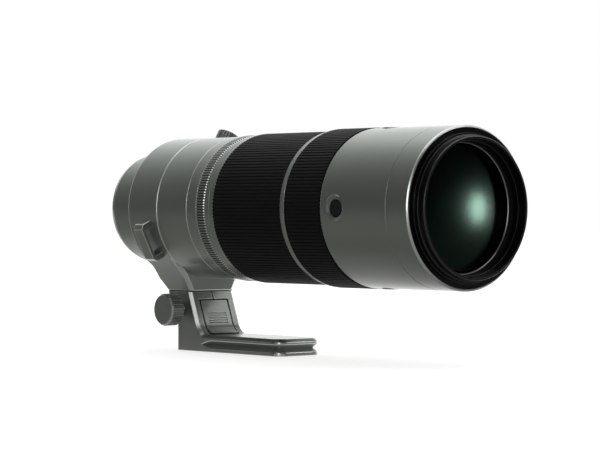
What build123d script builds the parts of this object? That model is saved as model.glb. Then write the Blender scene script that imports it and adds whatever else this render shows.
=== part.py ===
"""Telephoto zoom lens with a rotating tripod collar, a detachable foot and a cam driven zoom.

The optical axis lies along Y and the front glass faces -Y. The origin is the centre of the mount
flange, and +Z is up. A station is a distance in front of the flange, and a clock angle is counted in
degrees from +X toward +Z. All lengths are in millimetres.
"""
import os
from math import cos, pi, radians, sin, sqrt

from build123d import *

os.makedirs("parts", exist_ok=True)

# Driving lengths along the optical axis
flange_thickness = 3.6
rear_barrel_length = 29.6
collar_length = 31.2
switch_barrel_length = 31.1
aperture_ring_length = 19.8
index_band_length = 7.7
zoom_ring_length = 67.0
divider_length = 4.2
focus_ring_length = 32.8
front_barrel_length = 77.3
nose_length = 7.3

# Driving radii and the steps between them
throat_radius = 20.2
main_tube_radius = 43.8
main_tube_wall = 2.2
shell_wall = 2.8
band_step_height = 0.8
zoom_step_height = 1.5
focus_step_height = 1.4
divider_step_depth = 0.2
front_step_depth = 0.3
filter_step_depth = 8.2
rear_step_depth = 7.5
mount_step_depth = 1.0
guide_space_height = 6.8
guide_tube_wall = 1.8

# Clearances
running_gap = 0.3
ring_gap = 0.4
seat_gap = 0.05
pin_gap = 0.08
overrun = 3.0

# Stations that follow from the lengths
rear_barrel_front = flange_thickness + rear_barrel_length
collar_rear = rear_barrel_front + ring_gap
collar_front = collar_rear + collar_length
switch_rear = collar_front + ring_gap
switch_front = switch_rear + switch_barrel_length
aperture_rear = switch_front + ring_gap
aperture_front = aperture_rear + aperture_ring_length
index_rear = aperture_front + ring_gap
index_front = index_rear + index_band_length
zoom_rear = index_front + ring_gap
zoom_front = zoom_rear + zoom_ring_length
divider_rear = zoom_front + ring_gap
divider_front = divider_rear + divider_length
focus_rear = divider_front + ring_gap
focus_front = focus_rear + focus_ring_length
barrel_rear = focus_front + ring_gap
barrel_front = barrel_rear + front_barrel_length
nose_front = barrel_front + nose_length

# Radii that follow from the main tube
main_tube_bore = main_tube_radius - main_tube_wall
sleeve_bore = main_tube_radius + running_gap
fixed_bore = main_tube_radius + seat_gap
body_radius = main_tube_radius + shell_wall
band_radius = body_radius + band_step_height
zoom_radius = body_radius + zoom_step_height
focus_radius = zoom_radius + focus_step_height
divider_radius = focus_radius - divider_step_depth
front_radius = focus_radius - front_step_depth
filter_radius = front_radius - filter_step_depth
rear_radius = main_tube_radius - rear_step_depth
mount_radius = rear_radius - mount_step_depth
guide_tube_radius = main_tube_bore - guide_space_height
guide_bore = guide_tube_radius - guide_tube_wall


def direction(clock):
    """The unit vector that points out from the optical axis at a clock angle."""
    return (cos(radians(clock)), 0, sin(radians(clock)))


def station(distance, clock=0):
    """A plane square to the optical axis that faces the front, with its x at the clock angle."""
    return Plane(origin=(0, -distance, 0), x_dir=direction(clock), z_dir=(0, -1, 0))


def radial(distance, clock, radius):
    """A plane that faces straight out from the optical axis, with its x toward the front."""
    out = direction(clock)
    return Plane(origin=(radius * out[0], -distance, radius * out[2]), x_dir=(0, -1, 0), z_dir=out)


def half_section(*points, clock=0):
    """A face in the plane of the optical axis, from points of radius and station."""
    side = direction(clock)
    plane = Plane(origin=(0, 0, 0), x_dir=side, z_dir=(side[2], 0, -side[0]))
    with BuildSketch(plane) as section:
        with BuildLine():
            Polyline(*points, close=True)
        make_face()
    return section.sketch


def tube_section(bore, outer, start, end, clock=0):
    """The half section of a plain ring."""
    return half_section((bore, start), (outer, start), (outer, end), (bore, end), clock=clock)


def glass_section(edge, start, end, rear_bulge, front_bulge):
    """The half section of a lens: its edge radius, the stations of its rims and how far each face
    stands past its rim. A negative bulge is a hollow face."""
    def middle(rim, bulge, way):
        sphere = (edge ** 2 + bulge ** 2) / (2 * abs(bulge))
        drop = sphere - sqrt(sphere ** 2 - (edge / 2) ** 2)
        return (edge / 2, rim + way * (bulge - drop * bulge / abs(bulge)))
    with BuildSketch(Plane(origin=(0, 0, 0), x_dir=(1, 0, 0), z_dir=(0, 0, -1))) as section:
        with BuildLine():
            Line((0, start - rear_bulge), (0, end + front_bulge))
            ThreePointArc((0, end + front_bulge), middle(end, front_bulge, 1), (edge, end))
            Line((edge, end), (edge, start))
            ThreePointArc((edge, start), middle(start, rear_bulge, -1), (0, start - rear_bulge))
        make_face()
    return section.sketch


def grip_face(plane, outer, depth, count, groove_share):
    """A round face with straight grooves cut round its rim, for an extruded grip."""
    with BuildSketch(plane) as face:
        Circle(outer)
        with PolarLocations(outer, count):
            Rectangle(2 * depth, 2 * pi * outer / count * groove_share, mode=Mode.SUBTRACT)
    return face.sketch


def finish(part, name):
    """Name a finished piece and write it."""
    part.part.label = name
    export_step(part.part, f"parts/{name}.step")


# Mount ring: chromed brass flange with a short bayonet tube and three lugs behind it
mount_chamfer = 0.6
bayonet_length = 5.2
bayonet_wall = 1.8
lug_height = 2.2
lug_thickness = 1.6
lug_count = 3
lug_angle = 52
mount_screw_count = 4
mount_screw_depth = 6.3
screw_radius = 0.9
screw_head_radius = 1.9
screw_head_height = 1.4
screw_length = 6.4
screw_sink_depth = 0.15
screw_slot_width = 0.5
screw_slot_depth = 0.6
screw_angle = 45
bayonet_radius = throat_radius + bayonet_wall
mount_screw_circle_radius = mount_radius - mount_screw_depth
rear_face = Plane(origin=(0, 0, 0), x_dir=(-1, 0, 0), z_dir=(0, 1, 0))
seal_depth = 3.3
seal_width = 1.5
seal_thickness = 0.8
seal_bore = mount_radius - seal_depth

with BuildPart() as mount_ring:
    revolve(half_section(
        (throat_radius, -bayonet_length), (bayonet_radius, -bayonet_length), (bayonet_radius, 0),
        (mount_radius - mount_chamfer, 0), (mount_radius, mount_chamfer),
        (mount_radius, flange_thickness), (throat_radius, flange_thickness)), axis=Axis.Y)
    for index in range(lug_count):
        start = -bayonet_length
        lug = tube_section(bayonet_radius - bayonet_wall / 2, bayonet_radius + lug_height,
                           start, start + lug_thickness, clock=index * 360 / lug_count)
        revolve(lug, axis=Axis.Y, revolution_arc=lug_angle)
    with BuildSketch(rear_face):
        with PolarLocations(mount_screw_circle_radius, mount_screw_count, start_angle=screw_angle):
            Circle(screw_radius + pin_gap)
    extrude(amount=-flange_thickness, mode=Mode.SUBTRACT)
    with BuildSketch(rear_face):
        with PolarLocations(mount_screw_circle_radius, mount_screw_count, start_angle=screw_angle):
            Circle(screw_head_radius + pin_gap)
    extrude(amount=-(screw_sink_depth + screw_head_height), mode=Mode.SUBTRACT)
    revolve(tube_section(seal_bore, seal_bore + seal_width, flange_thickness - seal_thickness,
                         flange_thickness), axis=Axis.Y, mode=Mode.SUBTRACT)
finish(mount_ring, "mount_ring")

with BuildPart() as mount_screws:
    with BuildSketch(rear_face.offset(-screw_sink_depth)):
        with PolarLocations(mount_screw_circle_radius, mount_screw_count, start_angle=screw_angle):
            Circle(screw_head_radius)
    extrude(amount=-screw_head_height)
    with BuildSketch(rear_face.offset(-screw_sink_depth - screw_head_height)):
        with PolarLocations(mount_screw_circle_radius, mount_screw_count, start_angle=screw_angle):
            Circle(screw_radius)
    extrude(amount=-(screw_length - screw_head_height))
    with BuildSketch(rear_face.offset(-screw_sink_depth)):
        with PolarLocations(mount_screw_circle_radius, mount_screw_count, start_angle=screw_angle):
            Rectangle(screw_head_radius, screw_slot_width)
            Rectangle(screw_slot_width, screw_head_radius)
    extrude(amount=-screw_slot_depth, mode=Mode.SUBTRACT)
finish(mount_screws, "mount_screws")

# Mount seal: rubber ring pressed in a groove between the flange and the barrel
with BuildPart() as mount_seal:
    revolve(tube_section(seal_bore + seat_gap, seal_bore + seal_width - seat_gap,
                         flange_thickness - seal_thickness + seat_gap, flange_thickness),
            axis=Axis.Y)
finish(mount_seal, "mount_seal")

# Rear baffle: black plate with a rounded picture window, inside the throat
baffle_thickness = 1.5
baffle_station = 0.6
baffle_window_width = 28.0
baffle_window_height = 20.0
baffle_corner_radius = 3.0

with BuildPart() as rear_baffle:
    with BuildSketch(station(baffle_station)):
        Circle(throat_radius - seat_gap)
        RectangleRounded(baffle_window_width, baffle_window_height, baffle_corner_radius,
                         mode=Mode.SUBTRACT)
    extrude(amount=baffle_thickness)
finish(rear_baffle, "rear_baffle")

# Contact block: moulded strip at the foot of the throat, with a row of spring pins
contact_angle = 104
contact_depth = 3.2
contact_sink_depth = 0.5
contact_pin_count = 10
contact_pin_radius = 0.5
contact_pin_length = 2.6
contact_pin_stand_height = 0.5
contact_pitch_angle = 9.0
contact_bore = throat_radius - seat_gap - contact_depth
contact_rear = contact_sink_depth - bayonet_length
contact_circle_radius = throat_radius - contact_depth / 2


def contact_holes(radius, start, length, mode):
    """The row of round pins, or the holes for them, centred on the foot of the throat."""
    with BuildSketch(station(start)) as row:
        for index in range(contact_pin_count):
            clock = -90 + (index - (contact_pin_count - 1) / 2) * contact_pitch_angle
            out = direction(clock)
            with Locations((contact_circle_radius * out[0], contact_circle_radius * out[2])):
                Circle(radius)
    extrude(row.sketch, amount=length, mode=mode)


with BuildPart() as contact_block:
    revolve(tube_section(contact_bore, throat_radius - seat_gap, contact_rear, baffle_station,
                         clock=-90 - contact_angle / 2), axis=Axis.Y, revolution_arc=-contact_angle)
    contact_holes(contact_pin_radius + seat_gap, contact_rear - overrun,
                  contact_pin_length - contact_pin_stand_height + overrun, Mode.SUBTRACT)
finish(contact_block, "contact_block")

with BuildPart() as contact_pins:
    contact_holes(contact_pin_radius, contact_rear - contact_pin_stand_height, contact_pin_length, Mode.ADD)
finish(contact_pins, "contact_pins")

# Rear barrel: turned aluminium shell that carries the mount, with a spigot under the collar lip
rear_wall = 4.8
rear_end_thickness = 4.0
rear_opening_step_height = 0.8
spigot_step_depth = 1.7
barrel_chamfer = 0.5
spigot_length = 3.8
rear_opening = throat_radius + rear_opening_step_height
rear_bore = rear_radius - rear_wall
rear_end_front = flange_thickness + rear_end_thickness
spigot_front = rear_barrel_front + spigot_length

with BuildPart() as rear_barrel:
    revolve(half_section(
        (rear_opening, flange_thickness), (rear_radius - barrel_chamfer, flange_thickness),
        (rear_radius, flange_thickness + barrel_chamfer), (rear_radius, rear_barrel_front),
        (rear_radius - spigot_step_depth, rear_barrel_front),
        (rear_radius - spigot_step_depth, spigot_front),
        (rear_bore, spigot_front), (rear_bore, rear_end_front), (rear_opening, rear_end_front)),
        axis=Axis.Y)
    with BuildSketch(station(flange_thickness)):
        with PolarLocations(mount_screw_circle_radius, mount_screw_count, start_angle=screw_angle):
            Circle(screw_radius + pin_gap)
    extrude(amount=rear_end_thickness + overrun, mode=Mode.SUBTRACT)
finish(rear_barrel, "rear_barrel")

# Rear element: the last glass, set in the opening of the rear barrel
rear_glass_bulge = 1.6
rear_glass_hollow = -1.2

with BuildPart() as rear_element:
    revolve(glass_section(rear_opening - seat_gap, flange_thickness, rear_end_front,
                          rear_glass_hollow, rear_glass_bulge), axis=Axis.Y)
finish(rear_element, "rear_element")

# Circuit board: round board with its chips, inside the rear barrel
board_space_length = 6.4
board_thickness = 1.2
board_width = 8.5
chip_count = 5
chip_width = 6.0
chip_height = 1.4
board_station = rear_end_front + board_space_length
board_bore = rear_bore - board_width
chip_circle_radius = (board_bore + rear_bore) / 2

with BuildPart() as circuit_board:
    with BuildSketch(station(board_station)):
        Circle(rear_bore - seat_gap)
        Circle(board_bore, mode=Mode.SUBTRACT)
    extrude(amount=board_thickness)
    with BuildSketch(station(board_station + board_thickness)):
        with PolarLocations(chip_circle_radius, chip_count):
            Rectangle(chip_width, chip_width)
    extrude(amount=chip_height)
finish(circuit_board, "circuit_board")

# Main tube: the fixed backbone that every ring turns on, with a slot for the zoom key
zoom_angle = 80
key_station = zoom_rear + zoom_ring_length / 2
key_width = 6.0
key_length = 10.0
key_angle = 90
tube_end_thickness = 2.5
tube_end_step_height = 1.5
rod_radius = 1.5
rod_space_height = 5.1
rod_socket_depth = 1.2
rod_angles = (30, 210)
guide_rear_length = 5.0
barrel_seat_length = 6.0
main_tube_rear = spigot_front
main_tube_front = barrel_rear + barrel_seat_length
wall_front = main_tube_rear + tube_end_thickness
slot_play = key_width / 2 + ring_gap
tube_end_bore = rear_bore - tube_end_step_height
rod_circle_radius = main_tube_bore - rod_space_height
guide_rear = switch_rear + guide_rear_length


def rod_sockets():
    """Cut the sockets that hold the ends of the two focusing rods."""
    for clock in rod_angles:
        with BuildSketch(station(wall_front - rod_socket_depth, clock)) as sockets:
            with Locations((rod_circle_radius, 0)):
                Circle(rod_radius + seat_gap)
        extrude(sockets.sketch, amount=guide_rear + 2 * rod_socket_depth - wall_front, mode=Mode.SUBTRACT)


with BuildPart() as main_tube:
    revolve(half_section(
        (tube_end_bore, main_tube_rear), (main_tube_radius, main_tube_rear),
        (main_tube_radius, main_tube_front), (main_tube_bore, main_tube_front),
        (main_tube_bore, wall_front), (tube_end_bore, wall_front)), axis=Axis.Y)
    slot_margin = slot_play / main_tube_bore * 180 / pi
    revolve(tube_section(main_tube_bore - overrun, main_tube_radius + overrun,
                         key_station - key_length / 2 - ring_gap,
                         key_station + key_length / 2 + ring_gap,
                         clock=key_angle - slot_margin),
            axis=Axis.Y, revolution_arc=-(zoom_angle + 2 * slot_margin), mode=Mode.SUBTRACT)
    rod_sockets()
finish(main_tube, "main_tube")

# Tripod collar: one casting with its clamp knob seat, two strap bridges and the pedestal of the foot
collar_bore = main_tube_radius + ring_gap
lip_bore = rear_radius - spigot_step_depth + ring_gap
lip_length = spigot_length - 2 * ring_gap
collar_chamfer = 0.5
bridge_angles = (-26.5, 206.5)
bridge_station_share = 0.6
bridge_station = collar_rear + bridge_station_share * collar_length
bridge_width = 9.0
bridge_length = 27.0
bridge_slot_length = 19.0
bridge_height = 6.8
bridge_bar_thickness = 2.4
bridge_bevel = 2.6
pedestal_height = 7.8
pedestal_half_width = 18.2
pedestal_rear_length = 6.8
pedestal_top_length = 2.4
flare_top_share = 0.708
flare_waist_width = 4.2
flare_waist_height = 0.2
pedestal_bevel_length = 2.2
tongue_neck_half_width = 6.0
tongue_neck_height = 2.2
tongue_head_half_width = 9.0
tongue_head_height = 2.2
tongue_rear_gap = 2.0
tongue_front_gap = 4.2
lock_angle = 60
lock_rear_length = 12.9
lock_seat_radius = 6.5
lock_seat_height = 2.2
lock_screw_radius = 2.5
pedestal_bottom = -(body_radius + pedestal_height)
pedestal_rear = collar_rear + pedestal_rear_length
pedestal_top_rear = collar_rear + pedestal_top_length
flare_top = -body_radius * flare_top_share
flare_waist = (pedestal_half_width + flare_waist_width, flare_waist_height - body_radius)
tongue_rear = pedestal_rear + tongue_rear_gap
tongue_front = collar_front - tongue_front_gap
lock_station = collar_rear + lock_rear_length
side_plane = Plane(origin=(0, 0, 0), x_dir=(0, -1, 0), z_dir=(-1, 0, 0))

with BuildPart() as collar_ring:
    # Pedestal: its flared front view, cut to its side view
    with BuildSketch(station(pedestal_top_rear)):
        with BuildLine():
            flare_foot = (pedestal_half_width, pedestal_bottom)
            flare_head = (sqrt(body_radius ** 2 - flare_top ** 2), flare_top)
            Line((0, pedestal_bottom), flare_foot)
            ThreePointArc(flare_foot, flare_waist, flare_head)
            Line(flare_head, (0, flare_top))
            Line((0, flare_top), (0, pedestal_bottom))
        make_face()
        mirror(about=Plane.YZ)
    extrude(amount=collar_front - pedestal_top_rear)
    front_edges = collar_ring.faces().sort_by(Axis.Y)[0].edges().filter_by(GeomType.CIRCLE)
    chamfer(front_edges, length=pedestal_bevel_length)
    with BuildSketch(side_plane):
        with BuildLine():
            Polyline((pedestal_top_rear, flare_top), (pedestal_top_rear, -body_radius),
                     (pedestal_rear, pedestal_bottom), (collar_front, pedestal_bottom),
                     (collar_front, flare_top), close=True)
        make_face()
    extrude(amount=body_radius, both=True, mode=Mode.INTERSECT)
    # Tongue under the pedestal, which the foot slides on
    tongue_mid = pedestal_bottom - tongue_neck_height
    for half, top, height in ((tongue_neck_half_width, pedestal_bottom, tongue_neck_height),
                              (tongue_head_half_width, tongue_mid, tongue_head_height)):
        with BuildSketch(Plane.XY.offset(top)):
            with Locations((0, -(tongue_rear + tongue_front) / 2)):
                Rectangle(2 * half, tongue_front - tongue_rear)
        extrude(amount=-height)
    # Strap bridges on both sides
    for clock in bridge_angles:
        outer = body_radius + bridge_height
        with BuildSketch(station(bridge_station - bridge_width / 2, clock)):
            with BuildLine():
                Polyline((main_tube_radius, -bridge_length / 2), (outer - bridge_bevel, -bridge_length / 2),
                         (outer, bridge_bevel - bridge_length / 2),
                         (outer, bridge_length / 2 - bridge_bevel),
                         (outer - bridge_bevel, bridge_length / 2), (main_tube_radius, bridge_length / 2),
                         close=True)
            make_face()
            with BuildLine():
                inner = outer - bridge_bar_thickness
                Polyline((0, -bridge_slot_length / 2), (inner, -bridge_slot_length / 2),
                         (inner, bridge_slot_length / 2), (0, bridge_slot_length / 2), close=True)
            make_face(mode=Mode.SUBTRACT)
        extrude(amount=bridge_width)
    # Ring with its rounded rims
    revolve(half_section(
        (lip_bore, collar_rear), (body_radius - collar_chamfer, collar_rear),
        (body_radius, collar_rear + collar_chamfer), (body_radius, collar_front - collar_chamfer),
        (body_radius - collar_chamfer, collar_front), (lip_bore, collar_front)), axis=Axis.Y)
    with BuildSketch(radial(lock_station, lock_angle, collar_bore)):
        Circle(lock_seat_radius)
    extrude(amount=body_radius + lock_seat_height - collar_bore)
    # Bore, rear lip and screw hole
    revolve(tube_section(0, lip_bore, collar_rear - overrun, collar_front + overrun),
            axis=Axis.Y, mode=Mode.SUBTRACT)
    revolve(tube_section(0, collar_bore, collar_rear + lip_length, collar_front + overrun),
            axis=Axis.Y, mode=Mode.SUBTRACT)
    with BuildSketch(radial(lock_station, lock_angle, collar_bore - overrun)):
        Circle(lock_screw_radius + pin_gap)
    extrude(amount=body_radius + lock_seat_height, mode=Mode.SUBTRACT)
finish(collar_ring, "collar_ring")

# Collar lock knob: fluted knob turned in one piece with the short screw that clamps the collar
lock_knob_radius = 7.8
lock_knob_height = 8.0
flute_depth = 0.5
flute_share = 0.4
lock_flutes = 18
lock_base = body_radius + lock_seat_height + ring_gap
lock_screw_root = main_tube_radius + ring_gap

with BuildPart() as collar_lock_knob:
    extrude(grip_face(radial(lock_station, lock_angle, lock_base), lock_knob_radius, flute_depth,
                      lock_flutes, flute_share), amount=lock_knob_height)
    chamfer(collar_lock_knob.faces().sort_by(Axis(origin=(0, 0, 0), direction=direction(lock_angle)))[-1]
            .edges().filter_by(GeomType.CIRCLE), length=flute_depth / 2)
    with BuildSketch(radial(lock_station, lock_angle, lock_screw_root)):
        Circle(lock_screw_radius)
    extrude(amount=lock_base - lock_screw_root)
finish(collar_lock_knob, "collar_lock_knob")

# Foot: neck and dovetail plate in one casting, open at the top rear for the tongue
foot_gap = 0.5
foot_height = 38.9
plate_thickness = 11.0
plate_rear_length = 10.6
plate_length = 104.0
foot_half_width = 18.4
neck_bend_height = 6.8
neck_top_gap = 1.0
neck_slope_length = 8.0
neck_curve_length = 7.0
plate_corner_radius = 8.0
foot_bevel_length = 2.2
foot_top = pedestal_bottom - foot_gap
foot_bottom = foot_top - foot_height
plate_top = foot_bottom + plate_thickness
plate_rear = pedestal_rear + plate_rear_length
plate_front = plate_rear + plate_length
neck_bend = plate_top + neck_bend_height
neck_top_front = collar_front - neck_top_gap
neck_slope_front = neck_top_front + neck_slope_length
channel_gap = 0.35
channel_front = tongue_front + ring_gap
channel_neck_depth = tongue_neck_height - foot_gap + channel_gap
groove_centre_height = 4.8
groove_depth = 3.0
groove_half_width = 2.2
groove_runout_length = 7.5
groove_runout_radius = 20.0
groove_rear_length = 12.2
socket_radius = 2.55
socket_depth = 8.0
socket_rear_length = 41.0
socket_spacing_length = 32.0
knob_rear_length = 14.6
knob_drop_height = 11.8
knob_screw_radius = 2.5
knob_screw_depth = 15.0
button_half_width = 11.8
button_drop_height = 5.5
button_thickness = 2.6
button_travel_length = 1.8
button_gap = 0.35
slit_width = 1.0
slit_depth = 1.2
groove_level = foot_bottom + groove_centre_height
groove_start = neck_slope_front + groove_rear_length
socket_stations = (plate_rear + socket_rear_length,
                   plate_rear + socket_rear_length + socket_spacing_length)
knob_station = pedestal_rear + knob_rear_length
knob_level = foot_top - knob_drop_height
button_top = foot_top - button_drop_height
button_bottom = plate_top + ring_gap
slope = (neck_slope_front - neck_top_front) / (foot_top - neck_bend)


def neck_front(height):
    """The station of the neck's sloping front at a height."""
    return neck_top_front + (foot_top - height) * slope


# The neck by itself, which curves into the plate and has bevelled front corners
with BuildPart() as neck:
    with BuildSketch(side_plane):
        with BuildLine():
            Polyline((neck_top_front, foot_top), (pedestal_rear, foot_top), (plate_rear, neck_bend),
                     (plate_rear, foot_bottom), (neck_slope_front + neck_curve_length, foot_bottom),
                     (neck_slope_front + neck_curve_length, plate_top))
            TangentArc((neck_slope_front, neck_bend), (neck_slope_front + neck_curve_length, plate_top),
                       tangent=(slope, -1))
            Line((neck_slope_front, neck_bend), (neck_top_front, foot_top))
        make_face()
    extrude(amount=foot_half_width, both=True)
    chamfer(neck.edges().filter_by(
        lambda edge: abs(edge.center().X) > seat_gap and edge.center().Z > plate_top
        and -edge.center().Y > (neck_top_front + neck_slope_front) / 2 - ring_gap),
        length=foot_bevel_length)

with BuildPart() as foot:
    # Plate, with its rounded nose and bevelled top
    with BuildSketch(side_plane):
        with BuildLine():
            Polyline((plate_rear, foot_bottom), (plate_front, foot_bottom), (plate_front, plate_top),
                     (plate_rear, plate_top), close=True)
        make_face()
    extrude(amount=foot_half_width, both=True)
    fillet(foot.edges().filter_by(Axis.Z).group_by(Axis.Y)[0], radius=plate_corner_radius)
    plate_rim = foot.faces().sort_by(Axis.Z)[-1].edges().filter_by(
        lambda edge: -edge.center().Y > plate_rear + seat_gap)
    chamfer(plate_rim, length=foot_bevel_length)
    add(neck.part)
    # Side grooves of the plate, cut by one path that runs in and out at the rear
    with BuildLine(Plane.XY.offset(groove_level)) as path:
        near = (-foot_half_width - groove_depth, groove_runout_length - groove_start)
        Polyline(near, (-foot_half_width, -groove_start), (-foot_half_width, -plate_front),
                 (foot_half_width, -plate_front), (foot_half_width, -groove_start),
                 (foot_half_width + groove_depth, groove_runout_length - groove_start))
        fillet(path.vertices().group_by(Axis.Y)[0], radius=plate_corner_radius)
        fillet(path.vertices().group_by(Axis.Y)[-2], radius=groove_runout_radius)
    with BuildSketch(Plane(origin=(near[0], near[1], groove_level),
                           x_dir=(groove_runout_length, groove_depth, 0),
                           z_dir=(groove_depth, -groove_runout_length, 0))):
        with BuildLine():
            Polyline((-overrun, -groove_half_width - overrun), (groove_depth, 0),
                     (-overrun, groove_half_width + overrun), close=True)
        make_face()
    sweep(path=path.line, mode=Mode.SUBTRACT)
    # Channel for the tongue, open at the rear
    for half, top, height in ((tongue_neck_half_width, foot_top, channel_neck_depth),
                              (tongue_head_half_width, tongue_mid + channel_gap,
                               tongue_head_height + 2 * channel_gap)):
        with BuildSketch(Plane.XY.offset(top)):
            with Locations((0, -(pedestal_rear - overrun + channel_front) / 2)):
                Rectangle(2 * (half + channel_gap), channel_front - pedestal_rear + overrun)
        extrude(amount=-height, mode=Mode.SUBTRACT)
    # Pocket for the release button and the slit above it
    back = button_thickness + button_travel_length + button_gap
    with BuildSketch(side_plane):
        with BuildLine():
            Polyline((neck_front(button_top) - back, button_top + button_gap),
                     (neck_front(neck_bend) - back, neck_bend),
                     (neck_front(neck_bend) - back, button_bottom - button_gap),
                     (neck_slope_front + 3 * neck_curve_length, button_bottom - button_gap + seat_gap),
                     (neck_slope_front + 3 * neck_curve_length, button_top + button_gap), close=True)
        make_face()
    extrude(amount=button_half_width + button_gap, both=True, mode=Mode.SUBTRACT)
    with BuildSketch(side_plane):
        with BuildLine():
            Polyline((neck_top_front - slit_depth, foot_top), (neck_top_front + overrun, foot_top),
                     (neck_front(button_top) + overrun, button_top),
                     (neck_front(button_top) - slit_depth, button_top), close=True)
        make_face()
    extrude(amount=slit_width / 2, both=True, mode=Mode.SUBTRACT)
    # Tripod sockets and the clamp screw hole
    with BuildSketch(Plane.XY.offset(foot_bottom)):
        with Locations(*[(0, -place) for place in socket_stations]):
            Circle(socket_radius)
    extrude(amount=socket_depth, mode=Mode.SUBTRACT)
    with BuildSketch(Plane(origin=(-foot_half_width, -knob_station, knob_level), x_dir=(0, -1, 0),
                           z_dir=(-1, 0, 0))):
        Circle(knob_screw_radius + pin_gap)
    extrude(amount=-(knob_screw_depth + ring_gap), mode=Mode.SUBTRACT)
finish(foot, "foot")

# Release button: the panel on the front of the neck, with a ridged thumb pad
pad_width = 17.0
pad_drop_height = 8.0
pad_rise_height = 4.0
pad_depth = 0.7
ridge_count = 6
ridge_share = 0.45
pad_top = button_top - pad_drop_height
pad_bottom = button_bottom + pad_rise_height
slope_length = sqrt(1 + slope ** 2)
pad_plane = Plane(origin=(0, -neck_front((pad_top + pad_bottom) / 2), (pad_top + pad_bottom) / 2),
                  x_dir=(-1, 0, 0), z_dir=(0, -1 / slope_length, slope / slope_length))

with BuildPart() as release_button:
    with BuildSketch(side_plane):
        with BuildLine():
            head = (neck_front(button_top), button_top)
            heel = (neck_front(neck_bend), neck_bend)
            toe = (neck_slope_front + neck_curve_length - foot_gap, button_bottom)
            Line((head[0] - button_thickness, button_top), head)
            Line(head, heel)
            TangentArc(heel, toe, tangent=(slope, -1))
            Polyline(toe, (heel[0] - button_thickness, button_bottom),
                     (heel[0] - button_thickness, neck_bend), (head[0] - button_thickness, button_top))
        make_face()
    extrude(amount=button_half_width, both=True)
    pad_length = (pad_top - pad_bottom) * slope_length
    ridge_pitch = pad_length / ridge_count
    with BuildSketch(pad_plane):
        with GridLocations(0, ridge_pitch, 1, ridge_count):
            Rectangle(pad_width, ridge_pitch * (1 - ridge_share))
    extrude(amount=-pad_depth, mode=Mode.SUBTRACT)
finish(release_button, "release_button")

# Foot knob: large fluted knob on a screw through the side of the neck
foot_knob_radius = 10.6
foot_knob_length = 9.6
foot_knob_stand_height = 6.0
foot_knob_flutes = 22
foot_knob_boss_radius = 4.2
foot_knob_chamfer = 1.0
knob_plane = Plane(origin=(-foot_half_width - foot_knob_stand_height, -knob_station, knob_level),
                   x_dir=(0, -1, 0), z_dir=(-1, 0, 0))

with BuildPart() as foot_knob:
    extrude(grip_face(knob_plane, foot_knob_radius, flute_depth, foot_knob_flutes, flute_share),
            amount=foot_knob_length - foot_knob_chamfer)
    with BuildSketch(knob_plane.offset(foot_knob_length - foot_knob_chamfer)):
        Circle(foot_knob_radius - flute_depth)
    extrude(amount=foot_knob_chamfer)
    chamfer(foot_knob.faces().sort_by(Axis.X)[0].edges(), length=foot_knob_chamfer / 2)
finish(foot_knob, "foot_knob")

with BuildPart() as foot_screw:
    with BuildSketch(knob_plane):
        Circle(knob_screw_radius)
    extrude(amount=-(foot_knob_stand_height + knob_screw_depth))
    with BuildSketch(knob_plane):
        Circle(foot_knob_boss_radius)
    extrude(amount=-(foot_knob_stand_height - ring_gap))
finish(foot_screw, "foot_screw")

# Switch barrel: fixed shell between the collar and the aperture ring, with the switch panel
panel_angle = 54
panel_margin_width = 4.0
panel_thickness = 0.7
switch_angles = (-16, 0, 16)
switch_travel_length = 3.0
switch_length = 4.4
switch_width = 3.4
switch_stand_height = 1.4
switch_floor_thickness = 0.6
switch_station = (switch_rear + switch_front) / 2


def switch_windows(start, height):
    """Cut the three switch windows, each long enough for the slider and its travel."""
    for clock in switch_angles:
        with BuildSketch(radial(switch_station, clock, start)) as window:
            Rectangle(switch_length + switch_travel_length + 2 * running_gap,
                      switch_width + 2 * running_gap)
        extrude(window.sketch, amount=height, mode=Mode.SUBTRACT)


with BuildPart() as switch_barrel:
    revolve(tube_section(fixed_bore, body_radius, switch_rear, switch_front), axis=Axis.Y)
    switch_windows(fixed_bore + switch_floor_thickness, body_radius)
finish(switch_barrel, "switch_barrel")

with BuildPart() as switch_panel:
    revolve(tube_section(body_radius, body_radius + panel_thickness, switch_rear + panel_margin_width,
                         switch_front - panel_margin_width, clock=-panel_angle / 2),
            axis=Axis.Y, revolution_arc=-panel_angle)
    switch_windows(fixed_bore + switch_floor_thickness, body_radius)
finish(switch_panel, "switch_panel")

switch_names = ("focus_mode_switch", "focus_limit_switch", "stabiliser_switch")
for name, clock in zip(switch_names, switch_angles):
    base = fixed_bore + switch_floor_thickness + running_gap
    with BuildPart() as switch:
        with BuildSketch(radial(switch_station - switch_travel_length / 2, clock, base)):
            Rectangle(switch_length, switch_width)
        extrude(amount=body_radius + panel_thickness + switch_stand_height - base)
    finish(switch, name)

# Aperture ring: smooth ring with a finely ribbed front half
aperture_rib_count = 172
aperture_rib_height = 0.4
aperture_rib_share = 0.5
aperture_smooth_length = 10.4
aperture_lip_length = 1.2
aperture_ribs_rear = aperture_rear + aperture_smooth_length
aperture_ribs_front = aperture_front - aperture_lip_length

with BuildPart() as aperture_ring:
    extrude(grip_face(station(aperture_ribs_rear), band_radius, aperture_rib_height,
                      aperture_rib_count, aperture_rib_share),
            amount=aperture_ribs_front - aperture_ribs_rear)
    revolve(half_section(
        (sleeve_bore, aperture_rear), (body_radius + aperture_rib_height / 2, aperture_rear),
        (body_radius + aperture_rib_height / 2, aperture_ribs_rear), (sleeve_bore, aperture_ribs_rear)),
        axis=Axis.Y)
    revolve(tube_section(sleeve_bore, band_radius - aperture_rib_height, aperture_ribs_front,
                         aperture_front), axis=Axis.Y)
    revolve(tube_section(0, sleeve_bore, aperture_rear - overrun, aperture_front + overrun),
            axis=Axis.Y, mode=Mode.SUBTRACT)
finish(aperture_ring, "aperture_ring")

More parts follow.
